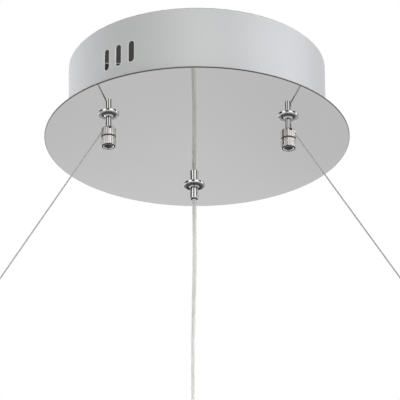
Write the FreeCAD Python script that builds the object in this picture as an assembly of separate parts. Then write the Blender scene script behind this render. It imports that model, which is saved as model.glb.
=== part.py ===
import FreeCAD, Part
import math
import os

# Ceiling canopy of a suspended chandelier: drum, mirror plate, two wire locks and a cord outlet.
# Millimetres. +Z is up, z = 0 is the ceiling, the origin is the middle of the bracket's ceiling face.
# The near side, seen in the photograph, is -Y.

Vector = FreeCAD.Vector
UP = Vector(0, 0, 1)
FULL_TURN = 360.0
QUARTER_TURN = 90.0

# Driving dimensions: canopy
plate_overhang = 19.2
plate_thickness = 1.2
plate_edge_round = 0.35
drum_diameter = 211.6
drum_height = 63.0
drum_wall = 1.0
drum_floor = 1.2
drum_corner_radius = 2.4
drum_rim_round = 0.3

# Driving dimensions: vent slots in the drum's wall
vent_count = 3
vent_width = 5.4
vent_length = 19.0
vent_pitch_degrees = 6.75
vent_middle_azimuth = 231.75
vent_centre_above_plate = 31.4

# Driving dimensions: the three outlets on the plate
outlet_inset = 21.3
cord_outlet_azimuth = 90.0
left_lock_azimuth = 210.8
right_lock_azimuth = 329.1

lock_flange_diameter = 17.5
cord_flange_diameter = 18.1
flange_height = 1.35
flange_rim_width = 1.7
flange_dish_depth = 0.8
flange_outer_round = 0.75
flange_edge_round = 0.3

stem_diameter = 10.0
stem_hole_clearance = 0.15
stem_past_nut = 1.6
washer_diameter = 18.0
washer_thickness = 1.0
nut_across_flats = 14.0
nut_height = 4.5
nut_chamfer = 0.6
thread_clearance = 0.05

# Driving dimensions: wire lock neck, which swivels in its stem
boss_diameter = 9.0
boss_height = 2.2
neck_diameter = 4.9
neck_length = 20.4
neck_shoulder_diameter = 6.2
neck_shoulder_height = 2.5
swivel_clearance = 0.08
swivel_end_play = 0.1
lip_height = 1.6

# Driving dimensions: steel wire
wire_diameter = 1.2
wire_bore_clearance = 0.4
wire_bend_radius = 6.0
wire_crossing_depth = 7.5
wire_groove_clearance = 0.35
left_wire_direction = 206.2
left_wire_lean = 30.3
left_wire_reach = 197.1
right_wire_direction = 337.3
right_wire_lean = 30.9
right_wire_reach = 189.0
crimp_clearance = 0.02
stop_diameter = 3.8
stop_length = 6.0
stop_seat_gap = 0.2
wire_past_stop = 0.6
end_sleeve_diameter = 3.8
end_sleeve_length = 12.0
end_sleeve_taper = 1.0
end_stud_diameter = 3.0
end_stud_length = 9.0

# Driving dimensions: fluted lock body and clamp screw
lock_diameter = 12.2
lock_top_depth = 12.6
lock_body_length = 8.1
lock_shoulder_radius = 2.4
lock_groove_height = 1.3
lock_groove_chamfer = 0.15
lock_groove_diameter = 8.4
clamp_head_length = 7.6
clamp_head_chamfer = 0.9
flute_count = 12
flute_radius = 1.5
flute_depth = 0.42
lock_seat_clearance = 0.05
set_screw_diameter = 2.3
set_screw_socket_flats = 1.2
set_screw_sink = 1.4
set_screw_depth = 1.9
left_set_screw_azimuth = 280.3
right_set_screw_azimuth = 288.3
clamp_shank_diameter = 2.9
clamp_pad_height = 1.2
clamp_pad_gap = 0.15
clamp_running_gap = 0.1
end_dish_diameter = 8.4
end_dish_floor_diameter = 7.0
end_dish_depth = 0.8
hex_socket_flats = 6.0
hex_socket_depth = 5.0

# Driving dimensions: cord outlet and power cord
cord_diameter = 3.5
cord_bore_clearance = 0.4
cord_boss_diameter = 10.6
cord_boss_height = 2.0
cord_neck_top_diameter = 6.6
cord_neck_end_diameter = 7.4
cord_neck_length = 13.0
bush_diameter = 6.0
bush_length = 5.0
bush_lip = 0.5
bush_grip_clearance = 0.05

connector_diameter = 10.5
connector_length = 26.0
connector_taper_length = 8.0
connector_neck_diameter = 5.6
connector_pin_diameter = 1.6
connector_pin_spacing = 4.4
connector_pin_length = 7.0
connector_edge_round = 0.6

# Driving dimensions: ceiling bracket and its screws
bracket_width = 26.0
bracket_thickness = 1.8
bracket_ear_drop = 24.0
bracket_bend_radius = 1.4
bracket_wall_gap = 0.3
bracket_slot_width = 5.0
bracket_slot_length = 28.0
bracket_slot_spacing = 88.0
bracket_supply_hole_diameter = 10.0
bracket_supply_hole_place = -17.0
bracket_corner_round = 2.0
side_screw_diameter = 4.0
side_screw_drop = 13.0
side_screw_length = 8.0
side_screw_sink = 0.1
side_screw_hole_clearance = 0.1
cross_recess_width = 1.0
cross_recess_length = 3.6
cross_recess_depth = 1.1
earth_screw_place = 18.0
earth_screw_head_diameter = 7.0
earth_screw_head_height = 2.4
earth_screw_tip_sink = 0.4
earth_lug_diameter = 8.4
earth_lug_thickness = 0.8
earth_lug_barrel_diameter = 3.2
earth_lug_barrel_length = 7.0

# Driving dimensions: driver that feeds the lamps
driver_length = 118.0
driver_width = 38.0
driver_case_height = 19.0
driver_nut_gap = 6.2
driver_corner_radius = 4.0
driver_lid_height = 3.0
driver_lid_inset = 1.2
driver_lid_round = 1.0
driver_port_boss_diameter = 7.0
driver_port_boss_length = 3.0
driver_screw_diameter = 5.0
driver_screw_height = 1.2
driver_screw_inset = 6.0
pad_thickness = 1.0
pad_length = 26.0
pad_width = 22.0
pad_spacing = 70.0

# Driving dimensions: terminal block and leads
terminal_pole_count = 3
terminal_pitch = 10.0
terminal_depth = 17.0
terminal_base_height = 7.0
terminal_tower_height = 7.0
terminal_tower_width = 7.6
terminal_place_x = -20.0
terminal_place_y = 46.0
terminal_entry_diameter = 3.4
terminal_entry_depth = 4.0
terminal_screw_diameter = 3.4
terminal_screw_well_depth = 5.0
terminal_screw_height = 2.0
terminal_screw_spacing = 8.0
terminal_screw_clearance = 0.1
lead_diameter = 2.2

# One overrun serves every cut that goes right through
overrun = 1.0

# A free bend's arc starts this share of its shorter run from the corner
bend_share = 0.45

# Places worked out from the sizes above
drum_radius = drum_diameter / 2
drum_inner_radius = drum_radius - drum_wall
plate_radius = drum_radius + plate_overhang
plate_top = -drum_height
plate_face = plate_top - plate_thickness
floor_top = plate_top + drum_floor
outlet_radius = drum_radius - outlet_inset
stem_radius = stem_diameter / 2
washer_top = floor_top + washer_thickness
nut_top = washer_top + nut_height
stem_top = nut_top + stem_past_nut
lock_radius = lock_diameter / 2
neck_radius = neck_diameter / 2
wire_radius = wire_diameter / 2
wire_bore_radius = wire_radius + wire_bore_clearance
clamp_bore_radius = clamp_shank_diameter / 2 + thread_clearance
cord_radius = cord_diameter / 2
cord_bore_radius = cord_radius + cord_bore_clearance
nut_corner_radius = nut_across_flats / math.sqrt(3)
front_outlet_y = outlet_radius * math.sin(math.radians(left_lock_azimuth))
driver_place_y = front_outlet_y + nut_corner_radius + driver_nut_gap + driver_width / 2
driver_floor = floor_top + pad_thickness
driver_lid_floor = driver_floor + driver_case_height
driver_end_x = driver_length / 2 + driver_port_boss_length
driver_port_z = driver_floor + driver_case_height / 2

parts = {}


def on_circle(azimuth, radius, height=0.0):
    """Point at an azimuth in degrees, counter-clockwise from +X."""
    turn = math.radians(azimuth)
    return Vector(radius * math.cos(turn), radius * math.sin(turn), height)


def revolved(start, steps):
    """Solid of revolution about Z. A step is a point (r, z), or an arc's middle point and end point."""
    edges = []
    here = Vector(start[0], 0, start[1])
    first = here
    for step in list(steps) + [start]:
        if isinstance(step[0], tuple):
            middle, end = (Vector(r, 0, z) for r, z in step)
            edges.append(Part.Arc(here, middle, end).toShape())
        else:
            end = Vector(step[0], 0, step[1])
            if (end - here).Length == 0:
                continue
            edges.append(Part.LineSegment(here, end).toShape())
        here = end
    assert (here - first).Length == 0
    return Part.Face(Part.Wire(edges)).revolve(Vector(0, 0, 0), UP, FULL_TURN)


def round_corner(centre_r, centre_z, radius, from_degrees, to_degrees):
    """Arc step for revolved, from one angle to another about its centre."""
    points = []
    for degrees in ((from_degrees + to_degrees) / 2, to_degrees):
        turn = math.radians(degrees)
        points.append((centre_r + radius * math.cos(turn), centre_z + radius * math.sin(turn)))
    return tuple(points)


def post(radius, low, high, x=0.0, y=0.0):
    """Upright cylinder between two heights."""
    return Part.makeCylinder(radius, high - low, Vector(x, y, low))


def block(low, high):
    """Box between two corners."""
    size = high - low
    return Part.makeBox(size.x, size.y, size.z, low)


def hex_prism(across_flats, low, high):
    """Upright hexagonal prism on the Z axis."""
    corner = across_flats / math.sqrt(3)
    points = [on_circle(FULL_TURN * i / 6, corner, low) for i in range(7)]
    return Part.Face(Part.makePolygon(points)).extrude(Vector(0, 0, high - low))


def lying(shape, degrees):
    """A copy turned about the Z axis."""
    turned = shape.copy()
    turned.rotate(Vector(0, 0, 0), UP, degrees)
    return turned


def moved(shape, place):
    """A copy moved by a vector."""
    copy = shape.copy()
    copy.translate(place)
    return copy


def cut_all(shape, tools):
    """The shape less each tool."""
    return shape.cut(Part.makeCompound(tools)) if tools else shape


def slot_tool(width, length, thickness):
    """Upright stadium through a wall, centred on the origin, through Y."""
    half = length / 2 - width / 2
    middle = block(Vector(-width / 2, -thickness / 2, -half), Vector(width / 2, thickness / 2, half))
    ends = []
    for z in (-half, half):
        ends.append(Part.makeCylinder(width / 2, thickness, Vector(0, -thickness / 2, z), Vector(0, 1, 0)))
    return middle.fuse(ends)


def tube(name, points, radius, bend_radius=None):
    """Tube along straight runs joined by tangent arcs; its volume is compared with section times length."""
    edges = []
    here = points[0]
    radii = []
    for i in range(1, len(points) - 1):
        back = points[i] - points[i - 1]
        ahead = points[i + 1] - points[i]
        half_turn = back.getAngle(ahead) / 2
        bend = bend_radius or bend_share * min(back.Length, ahead.Length) / math.tan(half_turn)
        setback = bend * math.tan(half_turn)
        u = Vector(back).normalize()
        w = Vector(ahead).normalize()
        arc_start = points[i] - u * setback
        arc_end = points[i] + w * setback
        inward = Vector(w - u).normalize()
        centre = points[i] + inward * (bend / math.cos(half_turn))
        arc_middle = centre - inward * bend
        edges.append(Part.LineSegment(here, arc_start).toShape())
        edges.append(Part.Arc(arc_start, arc_middle, arc_end).toShape())
        here = arc_end
        radii.append(round(bend, 1))
    edges.append(Part.LineSegment(here, points[-1]).toShape())
    path = Part.Wire(edges)
    section = Part.Wire(Part.makeCircle(radius, points[0], points[1] - points[0]))
    solid = path.makePipeShell([section], True, False)
    expected = math.pi * radius * radius * path.Length
    ratio = round(solid.Volume / expected, 4)
    print(name, "length", round(path.Length, 1), "radii", radii, "volume ratio", ratio)
    return solid


def outlet_place(azimuth):
    """Point of the plate's underside where an outlet's axis meets it."""
    return on_circle(azimuth, outlet_radius, plate_face)


def outlet_holes(low, high):
    """Holes for the three stems, between two heights."""
    tools = []
    for azimuth in (cord_outlet_azimuth, left_lock_azimuth, right_lock_azimuth):
        place = outlet_place(azimuth)
        tools.append(post(stem_radius + stem_hole_clearance, low, high, place.x, place.y))
    return tools


def make_plate():
    """Polished disc under the drum, wider than it, with rounded edges."""
    radius = plate_radius
    soft = plate_edge_round
    disc = revolved(
        (0, plate_face),
        [
            (radius - soft, plate_face),
            round_corner(radius - soft, plate_face + soft, soft, -QUARTER_TURN, 0),
            (radius, plate_top - soft),
            round_corner(radius - soft, plate_top - soft, soft, 0, QUARTER_TURN),
            (0, plate_top),
        ],
    )
    parts["mirror_plate"] = cut_all(disc, outlet_holes(plate_face - overrun, plate_top + overrun))


def side_screw_cone_radius():
    """Countersunk head's radius: a right-angled cone that ends at the ear's outer face."""
    return side_screw_diameter / 2 + drum_radius - side_screw_sink - ear_face_x()


def ear_face_x():
    """Outer face of a flat ear that clears the round wall at its corners."""
    half = bracket_width / 2
    return math.sqrt(drum_inner_radius ** 2 - half ** 2) - bracket_wall_gap


def side_screw_cone(extra):
    """Countersunk head on the +X side, grown by a clearance."""
    base = drum_radius - side_screw_sink
    narrow = side_screw_diameter / 2 + extra
    wide = side_screw_cone_radius() + extra
    tip = Vector(ear_face_x(), 0, -side_screw_drop)
    return Part.makeCone(narrow, wide, base - ear_face_x(), tip, Vector(1, 0, 0))


def make_drum():
    """Deep-drawn cup, open at the ceiling, with vent slots, stem holes and countersunk screw holes."""
    corner = drum_corner_radius
    inner_corner = corner - drum_wall
    rim = drum_rim_round
    cup = revolved(
        (0, plate_top),
        [
            (drum_radius - corner, plate_top),
            round_corner(drum_radius - corner, plate_top + corner, corner, -QUARTER_TURN, 0),
            (drum_radius, -rim),
            round_corner(drum_radius - rim, -rim, rim, 0, QUARTER_TURN),
            (drum_inner_radius, 0),
            (drum_inner_radius, floor_top + inner_corner),
            round_corner(
                drum_inner_radius - inner_corner, floor_top + inner_corner, inner_corner, 0, -QUARTER_TURN
            ),
            (0, floor_top),
        ],
    )
    tools = outlet_holes(plate_top - overrun, floor_top + overrun)
    slot = slot_tool(vent_width, vent_length, drum_wall + corner + overrun)
    for i in range(vent_count):
        azimuth = vent_middle_azimuth + (i - (vent_count - 1) / 2) * vent_pitch_degrees
        place = on_circle(azimuth, drum_radius - drum_wall / 2, plate_top + vent_centre_above_plate)
        tools.append(moved(lying(slot, azimuth + QUARTER_TURN), place))
    head = side_screw_cone(side_screw_hole_clearance)
    outside = Part.makeCylinder(
        side_screw_cone_radius() + side_screw_hole_clearance,
        overrun,
        Vector(drum_radius - side_screw_sink, 0, -side_screw_drop),
        Vector(1, 0, 0),
    )
    for degrees in (0, FULL_TURN / 2):
        tools.append(lying(head, degrees))
        tools.append(lying(outside, degrees))
    parts["drum_shell"] = cut_all(cup, tools)


def make_bracket():
    """Sheet crossbar with two bent ears, slots for the ceiling screws and a hole for the supply."""
    outer = bracket_bend_radius + bracket_thickness
    inner = bracket_bend_radius
    x = ear_face_x()
    half = bracket_width / 2
    t = bracket_thickness
    slant = math.sqrt(0.5)

    def corner_points(side):
        centre = Vector(side * (x - outer), -half, -outer)
        out = Vector(side * slant, 0, slant)
        return centre, centre + out * outer, centre + out * inner

    right_centre, right_outer, right_inner = corner_points(1)
    left_centre, left_outer, left_inner = corner_points(-1)
    reach = x - outer

    def at(px, pz):
        return Vector(px, -half, pz)

    edges = [
        Part.LineSegment(at(-reach, 0), at(reach, 0)),
        Part.Arc(at(reach, 0), right_outer, at(x, -outer)),
        Part.LineSegment(at(x, -outer), at(x, -bracket_ear_drop)),
        Part.LineSegment(at(x, -bracket_ear_drop), at(x - t, -bracket_ear_drop)),
        Part.LineSegment(at(x - t, -bracket_ear_drop), at(x - t, -outer)),
        Part.Arc(at(x - t, -outer), right_inner, at(reach, -t)),
        Part.LineSegment(at(reach, -t), at(-reach, -t)),
        Part.Arc(at(-reach, -t), left_inner, at(-x + t, -outer)),
        Part.LineSegment(at(-x + t, -outer), at(-x + t, -bracket_ear_drop)),
        Part.LineSegment(at(-x + t, -bracket_ear_drop), at(-x, -bracket_ear_drop)),
        Part.LineSegment(at(-x, -bracket_ear_drop), at(-x, -outer)),
        Part.Arc(at(-x, -outer), left_outer, at(-reach, 0)),
    ]
    sheet = Part.Face(Part.Wire([edge.toShape() for edge in edges])).extrude(Vector(0, bracket_width, 0))
    ear_corners = []
    for edge in sheet.Edges:
        box = edge.BoundBox
        if box.ZMax < -bracket_ear_drop / 2 and box.XLength > box.YLength:
            ear_corners.append(edge)
    sheet = sheet.makeFillet(bracket_corner_round, ear_corners)
    tools = []
    for side in (-1, 1):
        slot = slot_tool(bracket_slot_width, bracket_slot_length, t + 2 * overrun)
        slot.rotate(Vector(0, 0, 0), Vector(0, 1, 0), QUARTER_TURN)
        slot.rotate(Vector(0, 0, 0), Vector(1, 0, 0), QUARTER_TURN)
        tools.append(moved(slot, Vector(side * bracket_slot_spacing / 2, 0, -t / 2)))
        tools.append(
            Part.makeCylinder(
                side_screw_diameter / 2 + thread_clearance,
                t + 2 * overrun,
                Vector(side * (x + overrun), 0, -side_screw_drop),
                Vector(-side, 0, 0),
            )
        )
    supply = bracket_supply_hole_diameter / 2
    tools.append(post(supply, -t - overrun, overrun, bracket_supply_hole_place))
    tools.append(post(side_screw_diameter / 2 + thread_clearance, -t - overrun, overrun, earth_screw_place))
    parts["ceiling_bracket"] = cut_all(sheet, tools)


def cross_recess():
    """Cross-shaped recess opening towards +X, its mouth at the origin."""
    half = cross_recess_width / 2
    long_half = cross_recess_length / 2
    flat = block(Vector(-cross_recess_depth, -long_half, -half), Vector(overrun, long_half, half))
    upright = block(Vector(-cross_recess_depth, -half, -long_half), Vector(overrun, half, long_half))
    return flat.fuse(upright)


def make_side_screws():
    """Countersunk screws that hold the drum on the bracket's ears."""
    shank = Part.makeCylinder(
        side_screw_diameter / 2,
        side_screw_length,
        Vector(ear_face_x(), 0, -side_screw_drop),
        Vector(-1, 0, 0),
    )
    screw = side_screw_cone(0).fuse(shank).removeSplitter()
    mouth = Vector(drum_radius - side_screw_sink, 0, -side_screw_drop)
    screw = screw.cut(moved(cross_recess(), mouth))
    parts["side_screws"] = Part.makeCompound([screw, lying(screw, FULL_TURN / 2)])


def make_flange(diameter):
    """Rimmed cup washer against the plate, its dish facing down and its outer edge well rounded."""
    radius = diameter / 2
    hole = stem_radius + stem_hole_clearance
    soft = flange_outer_round
    inner_rim = radius - flange_rim_width
    dish = plate_face - flange_height + flange_dish_depth
    return revolved(
        (hole, plate_face),
        [
            (hole, dish),
            (inner_rim - flange_dish_depth, dish),
            (inner_rim, plate_face - flange_height),
            (radius - soft, plate_face - flange_height),
            round_corner(radius - soft, plate_face - flange_height + soft, soft, -QUARTER_TURN, 0),
            (radius, plate_face),
        ],
    )


def flange_dish_z():
    """Height of the flange's dished face, where a stem's boss bears."""
    return plate_face - flange_height + flange_dish_depth


def make_washer():
    """Plain washer on the drum's floor."""
    ring = post(washer_diameter / 2, floor_top, washer_top)
    return ring.cut(post(stem_radius + stem_hole_clearance, floor_top - overrun, washer_top + overrun))


def make_nut():
    """Hexagon nut with turned corners."""
    corner = nut_corner_radius
    turned = revolved(
        (0, washer_top),
        [
            (corner - nut_chamfer, washer_top),
            (corner, washer_top + nut_chamfer / 2),
            (corner, nut_top - nut_chamfer / 2),
            (corner - nut_chamfer, nut_top),
            (0, nut_top),
        ],
    )
    nut = hex_prism(nut_across_flats, washer_top, nut_top).common(turned)
    return nut.cut(post(stem_radius + thread_clearance, washer_top - overrun, nut_top + overrun))


def make_wire_stem():
    """Threaded hollow stem with a cone under the flange. Its lip carries the swivelling neck."""
    dish = flange_dish_z()
    foot = dish - boss_height
    lip_radius = neck_radius + swivel_clearance
    shoulder_bore = neck_shoulder_diameter / 2 + swivel_clearance
    lip_top = foot + lip_height
    soft = stem_radius - thread_clearance
    return revolved(
        (lip_radius, foot),
        [
            (lip_radius + flange_edge_round, foot),
            (boss_diameter / 2, dish - flange_edge_round),
            (boss_diameter / 2 + flange_edge_round, dish),
            (soft, dish),
            (soft, stem_top - nut_chamfer),
            (soft - nut_chamfer, stem_top),
            (shoulder_bore, stem_top),
            (shoulder_bore, lip_top),
            (lip_radius, lip_top),
        ],
    )


def wire_unit(direction, lean):
    """Unit vector along a wire's outer run."""
    tilt = math.radians(lean)
    return on_circle(direction, math.sin(tilt), -math.cos(tilt))


def wire_groove(lean, inner, outer, top):
    """Cut with a sloping floor just under the wire's outer run, open up to a height, towards +X."""
    tilt = math.radians(lean)
    half_width = wire_radius + wire_groove_clearance
    under = half_width / math.sin(tilt)
    crossing = plate_face - wire_crossing_depth

    def floor_z(r):
        return crossing - r / math.tan(tilt) - under

    side = [
        Vector(inner, -half_width, floor_z(inner)),
        Vector(outer, -half_width, floor_z(outer)),
        Vector(outer, -half_width, top),
        Vector(inner, -half_width, top),
        Vector(inner, -half_width, floor_z(inner)),
    ]
    return Part.Face(Part.makePolygon(side)).extrude(Vector(0, 2 * half_width, 0))


def neck_top_z():
    """Top of the neck's shoulder, inside the stem."""
    return neck_shoulder_foot_z() + neck_shoulder_height


def neck_shoulder_foot_z():
    """Underside of the neck's shoulder, a running gap above the stem's lip."""
    return flange_dish_z() - boss_height + lip_height + swivel_end_play


def make_neck(direction, lean):
    """Hollow neck with a shoulder on top, a side port for the wire and a bore for the clamp screw."""
    mouth = plate_face - neck_length
    shoulder = neck_shoulder_diameter / 2
    step = plate_face - wire_crossing_depth + wire_bend_radius / 4
    top = neck_top_z()
    neck = revolved(
        (clamp_bore_radius, mouth),
        [
            (neck_radius - flange_edge_round, mouth),
            (neck_radius, mouth + flange_edge_round),
            (neck_radius, neck_shoulder_foot_z()),
            (shoulder, neck_shoulder_foot_z()),
            (shoulder, top),
            (wire_bore_radius, top),
            (wire_bore_radius, step),
            (clamp_bore_radius, step - (clamp_bore_radius - wire_bore_radius)),
        ],
    )
    port_top = plate_face - wire_crossing_depth - wire_radius
    port = wire_groove(lean, 0, neck_radius + overrun, port_top)
    return neck.cut(lying(port, direction))


def fluted(low, high):
    """Cutters for the flutes round a knurled half."""
    centre = lock_radius + flute_radius - flute_depth
    tools = []
    for i in range(flute_count):
        place = on_circle(FULL_TURN * i / flute_count, centre)
        tools.append(post(flute_radius, low, high, place.x, place.y))
    return tools


def make_lock_body(direction, lean, screw_azimuth):
    """Upper fluted half: fixed on the neck, with a groove for the wire and a radial set screw hole."""
    top = plate_face - lock_top_depth
    low = top - lock_body_length
    shoulder = lock_shoulder_radius
    bore = neck_radius + lock_seat_clearance
    body = revolved(
        (bore, low),
        [
            (lock_radius - lock_groove_chamfer, low),
            (lock_radius, low + lock_groove_chamfer),
            (lock_radius, top - shoulder),
            round_corner(lock_radius - shoulder, top - shoulder, shoulder, 0, QUARTER_TURN),
            (bore, top),
        ],
    )
    groove = wire_groove(lean, 0, lock_radius + overrun, top + overrun)
    tools = fluted(low - overrun, top + overrun)
    tools.append(lying(groove, direction))
    tools.append(set_screw_hole(screw_azimuth))
    return cut_all(body, tools)


def set_screw_z():
    """Height of the set screw's axis."""
    return plate_face - lock_top_depth - set_screw_depth


def set_screw_hole(azimuth):
    """Radial hole from the bore out through the fluted wall."""
    start = on_circle(azimuth, 0, set_screw_z())
    return Part.makeCylinder(
        set_screw_diameter / 2 + thread_clearance, lock_radius + overrun, start, on_circle(azimuth, 1)
    )


def make_set_screw(azimuth):
    """Headless screw sunk in its hole, tip against the neck, with a hexagon socket."""
    tip = neck_radius + crimp_clearance
    length = lock_radius - set_screw_sink - tip
    start = on_circle(azimuth, tip, set_screw_z())
    screw = Part.makeCylinder(set_screw_diameter / 2, length, start, on_circle(azimuth, 1))
    socket = hex_prism(set_screw_socket_flats, 0, length)
    socket.rotate(Vector(0, 0, 0), Vector(0, 1, 0), QUARTER_TURN)
    socket = lying(moved(socket, Vector(tip + length / 2, 0, set_screw_z())), azimuth)
    return screw.cut(socket)


def clamp_tip_z(lean):
    """Height of the clamp pad's top, just under the wire where it crosses the bore's wall."""
    tilt = math.radians(lean)
    under_wire = clamp_bore_radius / math.tan(tilt) + wire_radius / math.sin(tilt)
    return plate_face - wire_crossing_depth - under_wire - clamp_pad_gap


def make_clamp_pad(lean):
    """Small non-turning pad between the screw's tip and the wire."""
    top = clamp_tip_z(lean)
    return post(clamp_shank_diameter / 2 - thread_clearance, top - clamp_pad_height, top)


def make_clamp_screw(lean):
    """Lower fluted half: hub, shank up the neck, chamfered end, dished face and hexagon socket."""
    body_low = plate_face - lock_top_depth - lock_body_length
    hub_top = body_low - clamp_running_gap
    head_top = body_low - lock_groove_height
    end = head_top - clamp_head_length
    bevel = clamp_head_chamfer
    shank = clamp_shank_diameter / 2
    tip = clamp_tip_z(lean) - clamp_pad_height
    screw = revolved(
        (0, end + end_dish_depth),
        [
            (end_dish_floor_diameter / 2, end + end_dish_depth),
            (end_dish_diameter / 2, end),
            (lock_radius - bevel, end),
            (lock_radius, end + bevel),
            (lock_radius, head_top - lock_groove_chamfer),
            (lock_radius - lock_groove_chamfer, head_top),
            (lock_groove_diameter / 2, head_top),
            (lock_groove_diameter / 2, hub_top),
            (shank, hub_top),
            (shank, tip),
            (0, tip),
        ],
    )
    tools = fluted(end - overrun, head_top + overrun)
    low = end + end_dish_depth
    tools.append(hex_prism(hex_socket_flats, low - overrun, low + hex_socket_depth))
    return cut_all(screw, tools)


def make_stop():
    """Crimped sleeve on the wire's upper end, resting on the neck's top."""
    low = neck_top_z() + stop_seat_gap
    sleeve = post(stop_diameter / 2, low, low + stop_length)
    return sleeve.cut(post(wire_radius + crimp_clearance, low - overrun, low + stop_length + overrun))


def make_wire(name, place, direction, lean, reach):
    """Steel wire: down the neck, round the port's edge and straight out to its end fitting."""
    top = neck_top_z() + stop_seat_gap + stop_length + wire_past_stop
    crossing = Vector(place.x, place.y, plate_face - wire_crossing_depth)
    end = crossing + wire_unit(direction, lean) * reach
    points = [Vector(place.x, place.y, top), crossing, end]
    return tube(name, points, wire_radius, wire_bend_radius), end


def make_wire_end(direction, lean, end):
    """Crimped sleeve with a threaded stud, in line with the wire."""
    sleeve = end_sleeve_diameter / 2
    fitting = revolved(
        (0, 0),
        [
            (sleeve - end_sleeve_taper / 2, 0),
            (sleeve, -end_sleeve_taper),
            (sleeve, -end_sleeve_length),
            (end_stud_diameter / 2, -end_sleeve_length),
            (end_stud_diameter / 2, -end_sleeve_length - end_stud_length + flange_edge_round),
            (end_stud_diameter / 2 - flange_edge_round, -end_sleeve_length - end_stud_length),
            (0, -end_sleeve_length - end_stud_length),
        ],
    )
    fitting.rotate(Vector(0, 0, 0), Vector(0, 1, 0), -lean)
    return moved(lying(fitting, direction), end)


def make_wire_lock(side, azimuth, direction, lean, reach, screw_azimuth):
    """All the pieces of one wire outlet and lock."""
    place = outlet_place(azimuth)
    flat = Vector(place.x, place.y, 0)
    wire, end = make_wire("steel_wire_" + side, place, direction, lean, reach)
    upright = {
        "lock_flange_": make_flange(lock_flange_diameter),
        "lock_washer_": make_washer(),
        "lock_nut_": make_nut(),
        "lock_stem_": make_wire_stem(),
        "lock_neck_": make_neck(direction, lean),
        "lock_body_": make_lock_body(direction, lean, screw_azimuth),
        "lock_set_screw_": make_set_screw(screw_azimuth),
        "clamp_pad_": make_clamp_pad(lean),
        "clamp_screw_": make_clamp_screw(lean),
        "wire_stop_": make_stop(),
    }
    for name, shape in upright.items():
        parts[name + side] = moved(shape, flat)
    parts["steel_wire_" + side] = wire
    parts["wire_end_" + side] = make_wire_end(direction, lean, end)


def make_cord_nozzle():
    """Threaded stem, cone under the flange and flared neck of the cord outlet, in one piece."""
    dish = flange_dish_z()
    mouth = plate_face - cord_neck_length
    bush = bush_diameter / 2 + crimp_clearance
    soft = stem_radius - thread_clearance
    end_radius = cord_neck_end_diameter / 2
    lip = flange_edge_round
    return revolved(
        (cord_bore_radius, stem_top),
        [
            (cord_bore_radius, mouth + bush_length),
            (bush, mouth + bush_length),
            (bush, mouth),
            (end_radius - lip, mouth),
            round_corner(end_radius - lip, mouth + lip, lip, -QUARTER_TURN, 0),
            (cord_neck_top_diameter / 2, dish - cord_boss_height),
            (cord_boss_diameter / 2, dish - flange_edge_round),
            (cord_boss_diameter / 2 + flange_edge_round, dish),
            (soft, dish),
            (soft, stem_top - nut_chamfer),
            (soft - nut_chamfer, stem_top),
        ],
    )


def make_cord_bush():
    """Soft sleeve in the nozzle's mouth, its rounded lip just below it."""
    mouth = plate_face - cord_neck_length
    outer = bush_diameter / 2
    bore = cord_radius + bush_grip_clearance
    low = mouth - bush_lip
    return revolved(
        (bore, mouth + bush_length - crimp_clearance),
        [
            (bore, low),
            (outer - bush_lip, low),
            round_corner(outer - bush_lip, mouth, bush_lip, -QUARTER_TURN, 0),
            (outer, mouth + bush_length - crimp_clearance),
        ],
    )


def make_cord_connector(end):
    """Inline plug at the cord's lower end: tapered neck, barrel and two pins."""
    barrel = connector_diameter / 2
    soft = connector_edge_round
    low = -connector_length
    shell = revolved(
        (0, 0),
        [
            (connector_neck_diameter / 2, 0),
            (barrel - soft, -connector_taper_length + soft),
            (barrel, -connector_taper_length),
            (barrel, low + soft),
            round_corner(barrel - soft, low + soft, soft, 0, -QUARTER_TURN),
            (0, low),
        ],
    )
    parts["cord_connector"] = moved(shell, end)
    pins = []
    for side in (-1, 1):
        x = side * connector_pin_spacing / 2
        pins.append(post(connector_pin_diameter / 2, low - connector_pin_length, low, x))
    parts["connector_pins"] = moved(Part.makeCompound(pins), end)


def make_cord_outlet():
    """Cord outlet, the hanging power cord, its run to the driver and its connector."""
    place = outlet_place(cord_outlet_azimuth)
    flat = Vector(place.x, place.y, 0)
    parts["cord_flange"] = moved(make_flange(cord_flange_diameter), flat)
    parts["cord_washer"] = moved(make_washer(), flat)
    parts["cord_nut"] = moved(make_nut(), flat)
    parts["cord_nozzle"] = moved(make_cord_nozzle(), flat)
    parts["cord_bush"] = moved(make_cord_bush(), flat)
    hanging = cord_route(place)
    parts["power_cord"] = tube("power_cord", hanging, cord_radius)
    make_cord_connector(hanging[-1])
    parts["cord_inner_run"] = tube("cord_inner_run", cord_inner_route(place), cord_radius)


def beside(place, offsets):
    """Points given as offsets from one place."""
    return [place + Vector(x, y, z) for x, y, z in offsets]


def cord_route(place):
    """Hand-chosen points of the hanging cord, from the stem down, as offsets from its outlet."""
    offsets = [
        (0.0, 0.0, 0.0),
        (0.0, 0.0, -26.0),
        (0.5, 0.4, -66.0),
        (-0.6, 0.2, -112.0),
        (-1.3, -0.4, -160.0),
        (-1.3, -0.4, -205.0),
    ]
    return beside(place, offsets)


def cord_inner_route(place):
    """Hand-chosen points of the cord inside the drum: up from the outlet, round the wall, to the driver."""
    along_wall = [
        (81.3, 25.9, 33.0),
        (60.1, 28.6, 34.0),
        (43.1, 21.3, 30.0),
        (28.3, 14.0, 24.0),
        (17.1, 9.6, 18.0),
        (7.3, 10.0, 14.0),
    ]
    points = beside(place, [(0.0, 0.0, 0.0), (0.0, 0.0, 23.2)])
    for azimuth, inside, above in along_wall:
        points.append(on_circle(azimuth, drum_inner_radius - inside, plate_top + above))
    port = Vector(driver_end_x, driver_place_y, driver_port_z)
    return points + beside(port, [(25.0, 8.0, 0.0), (13.0, 0.0, 0.0), (0.0, 0.0, 0.0)])


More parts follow.
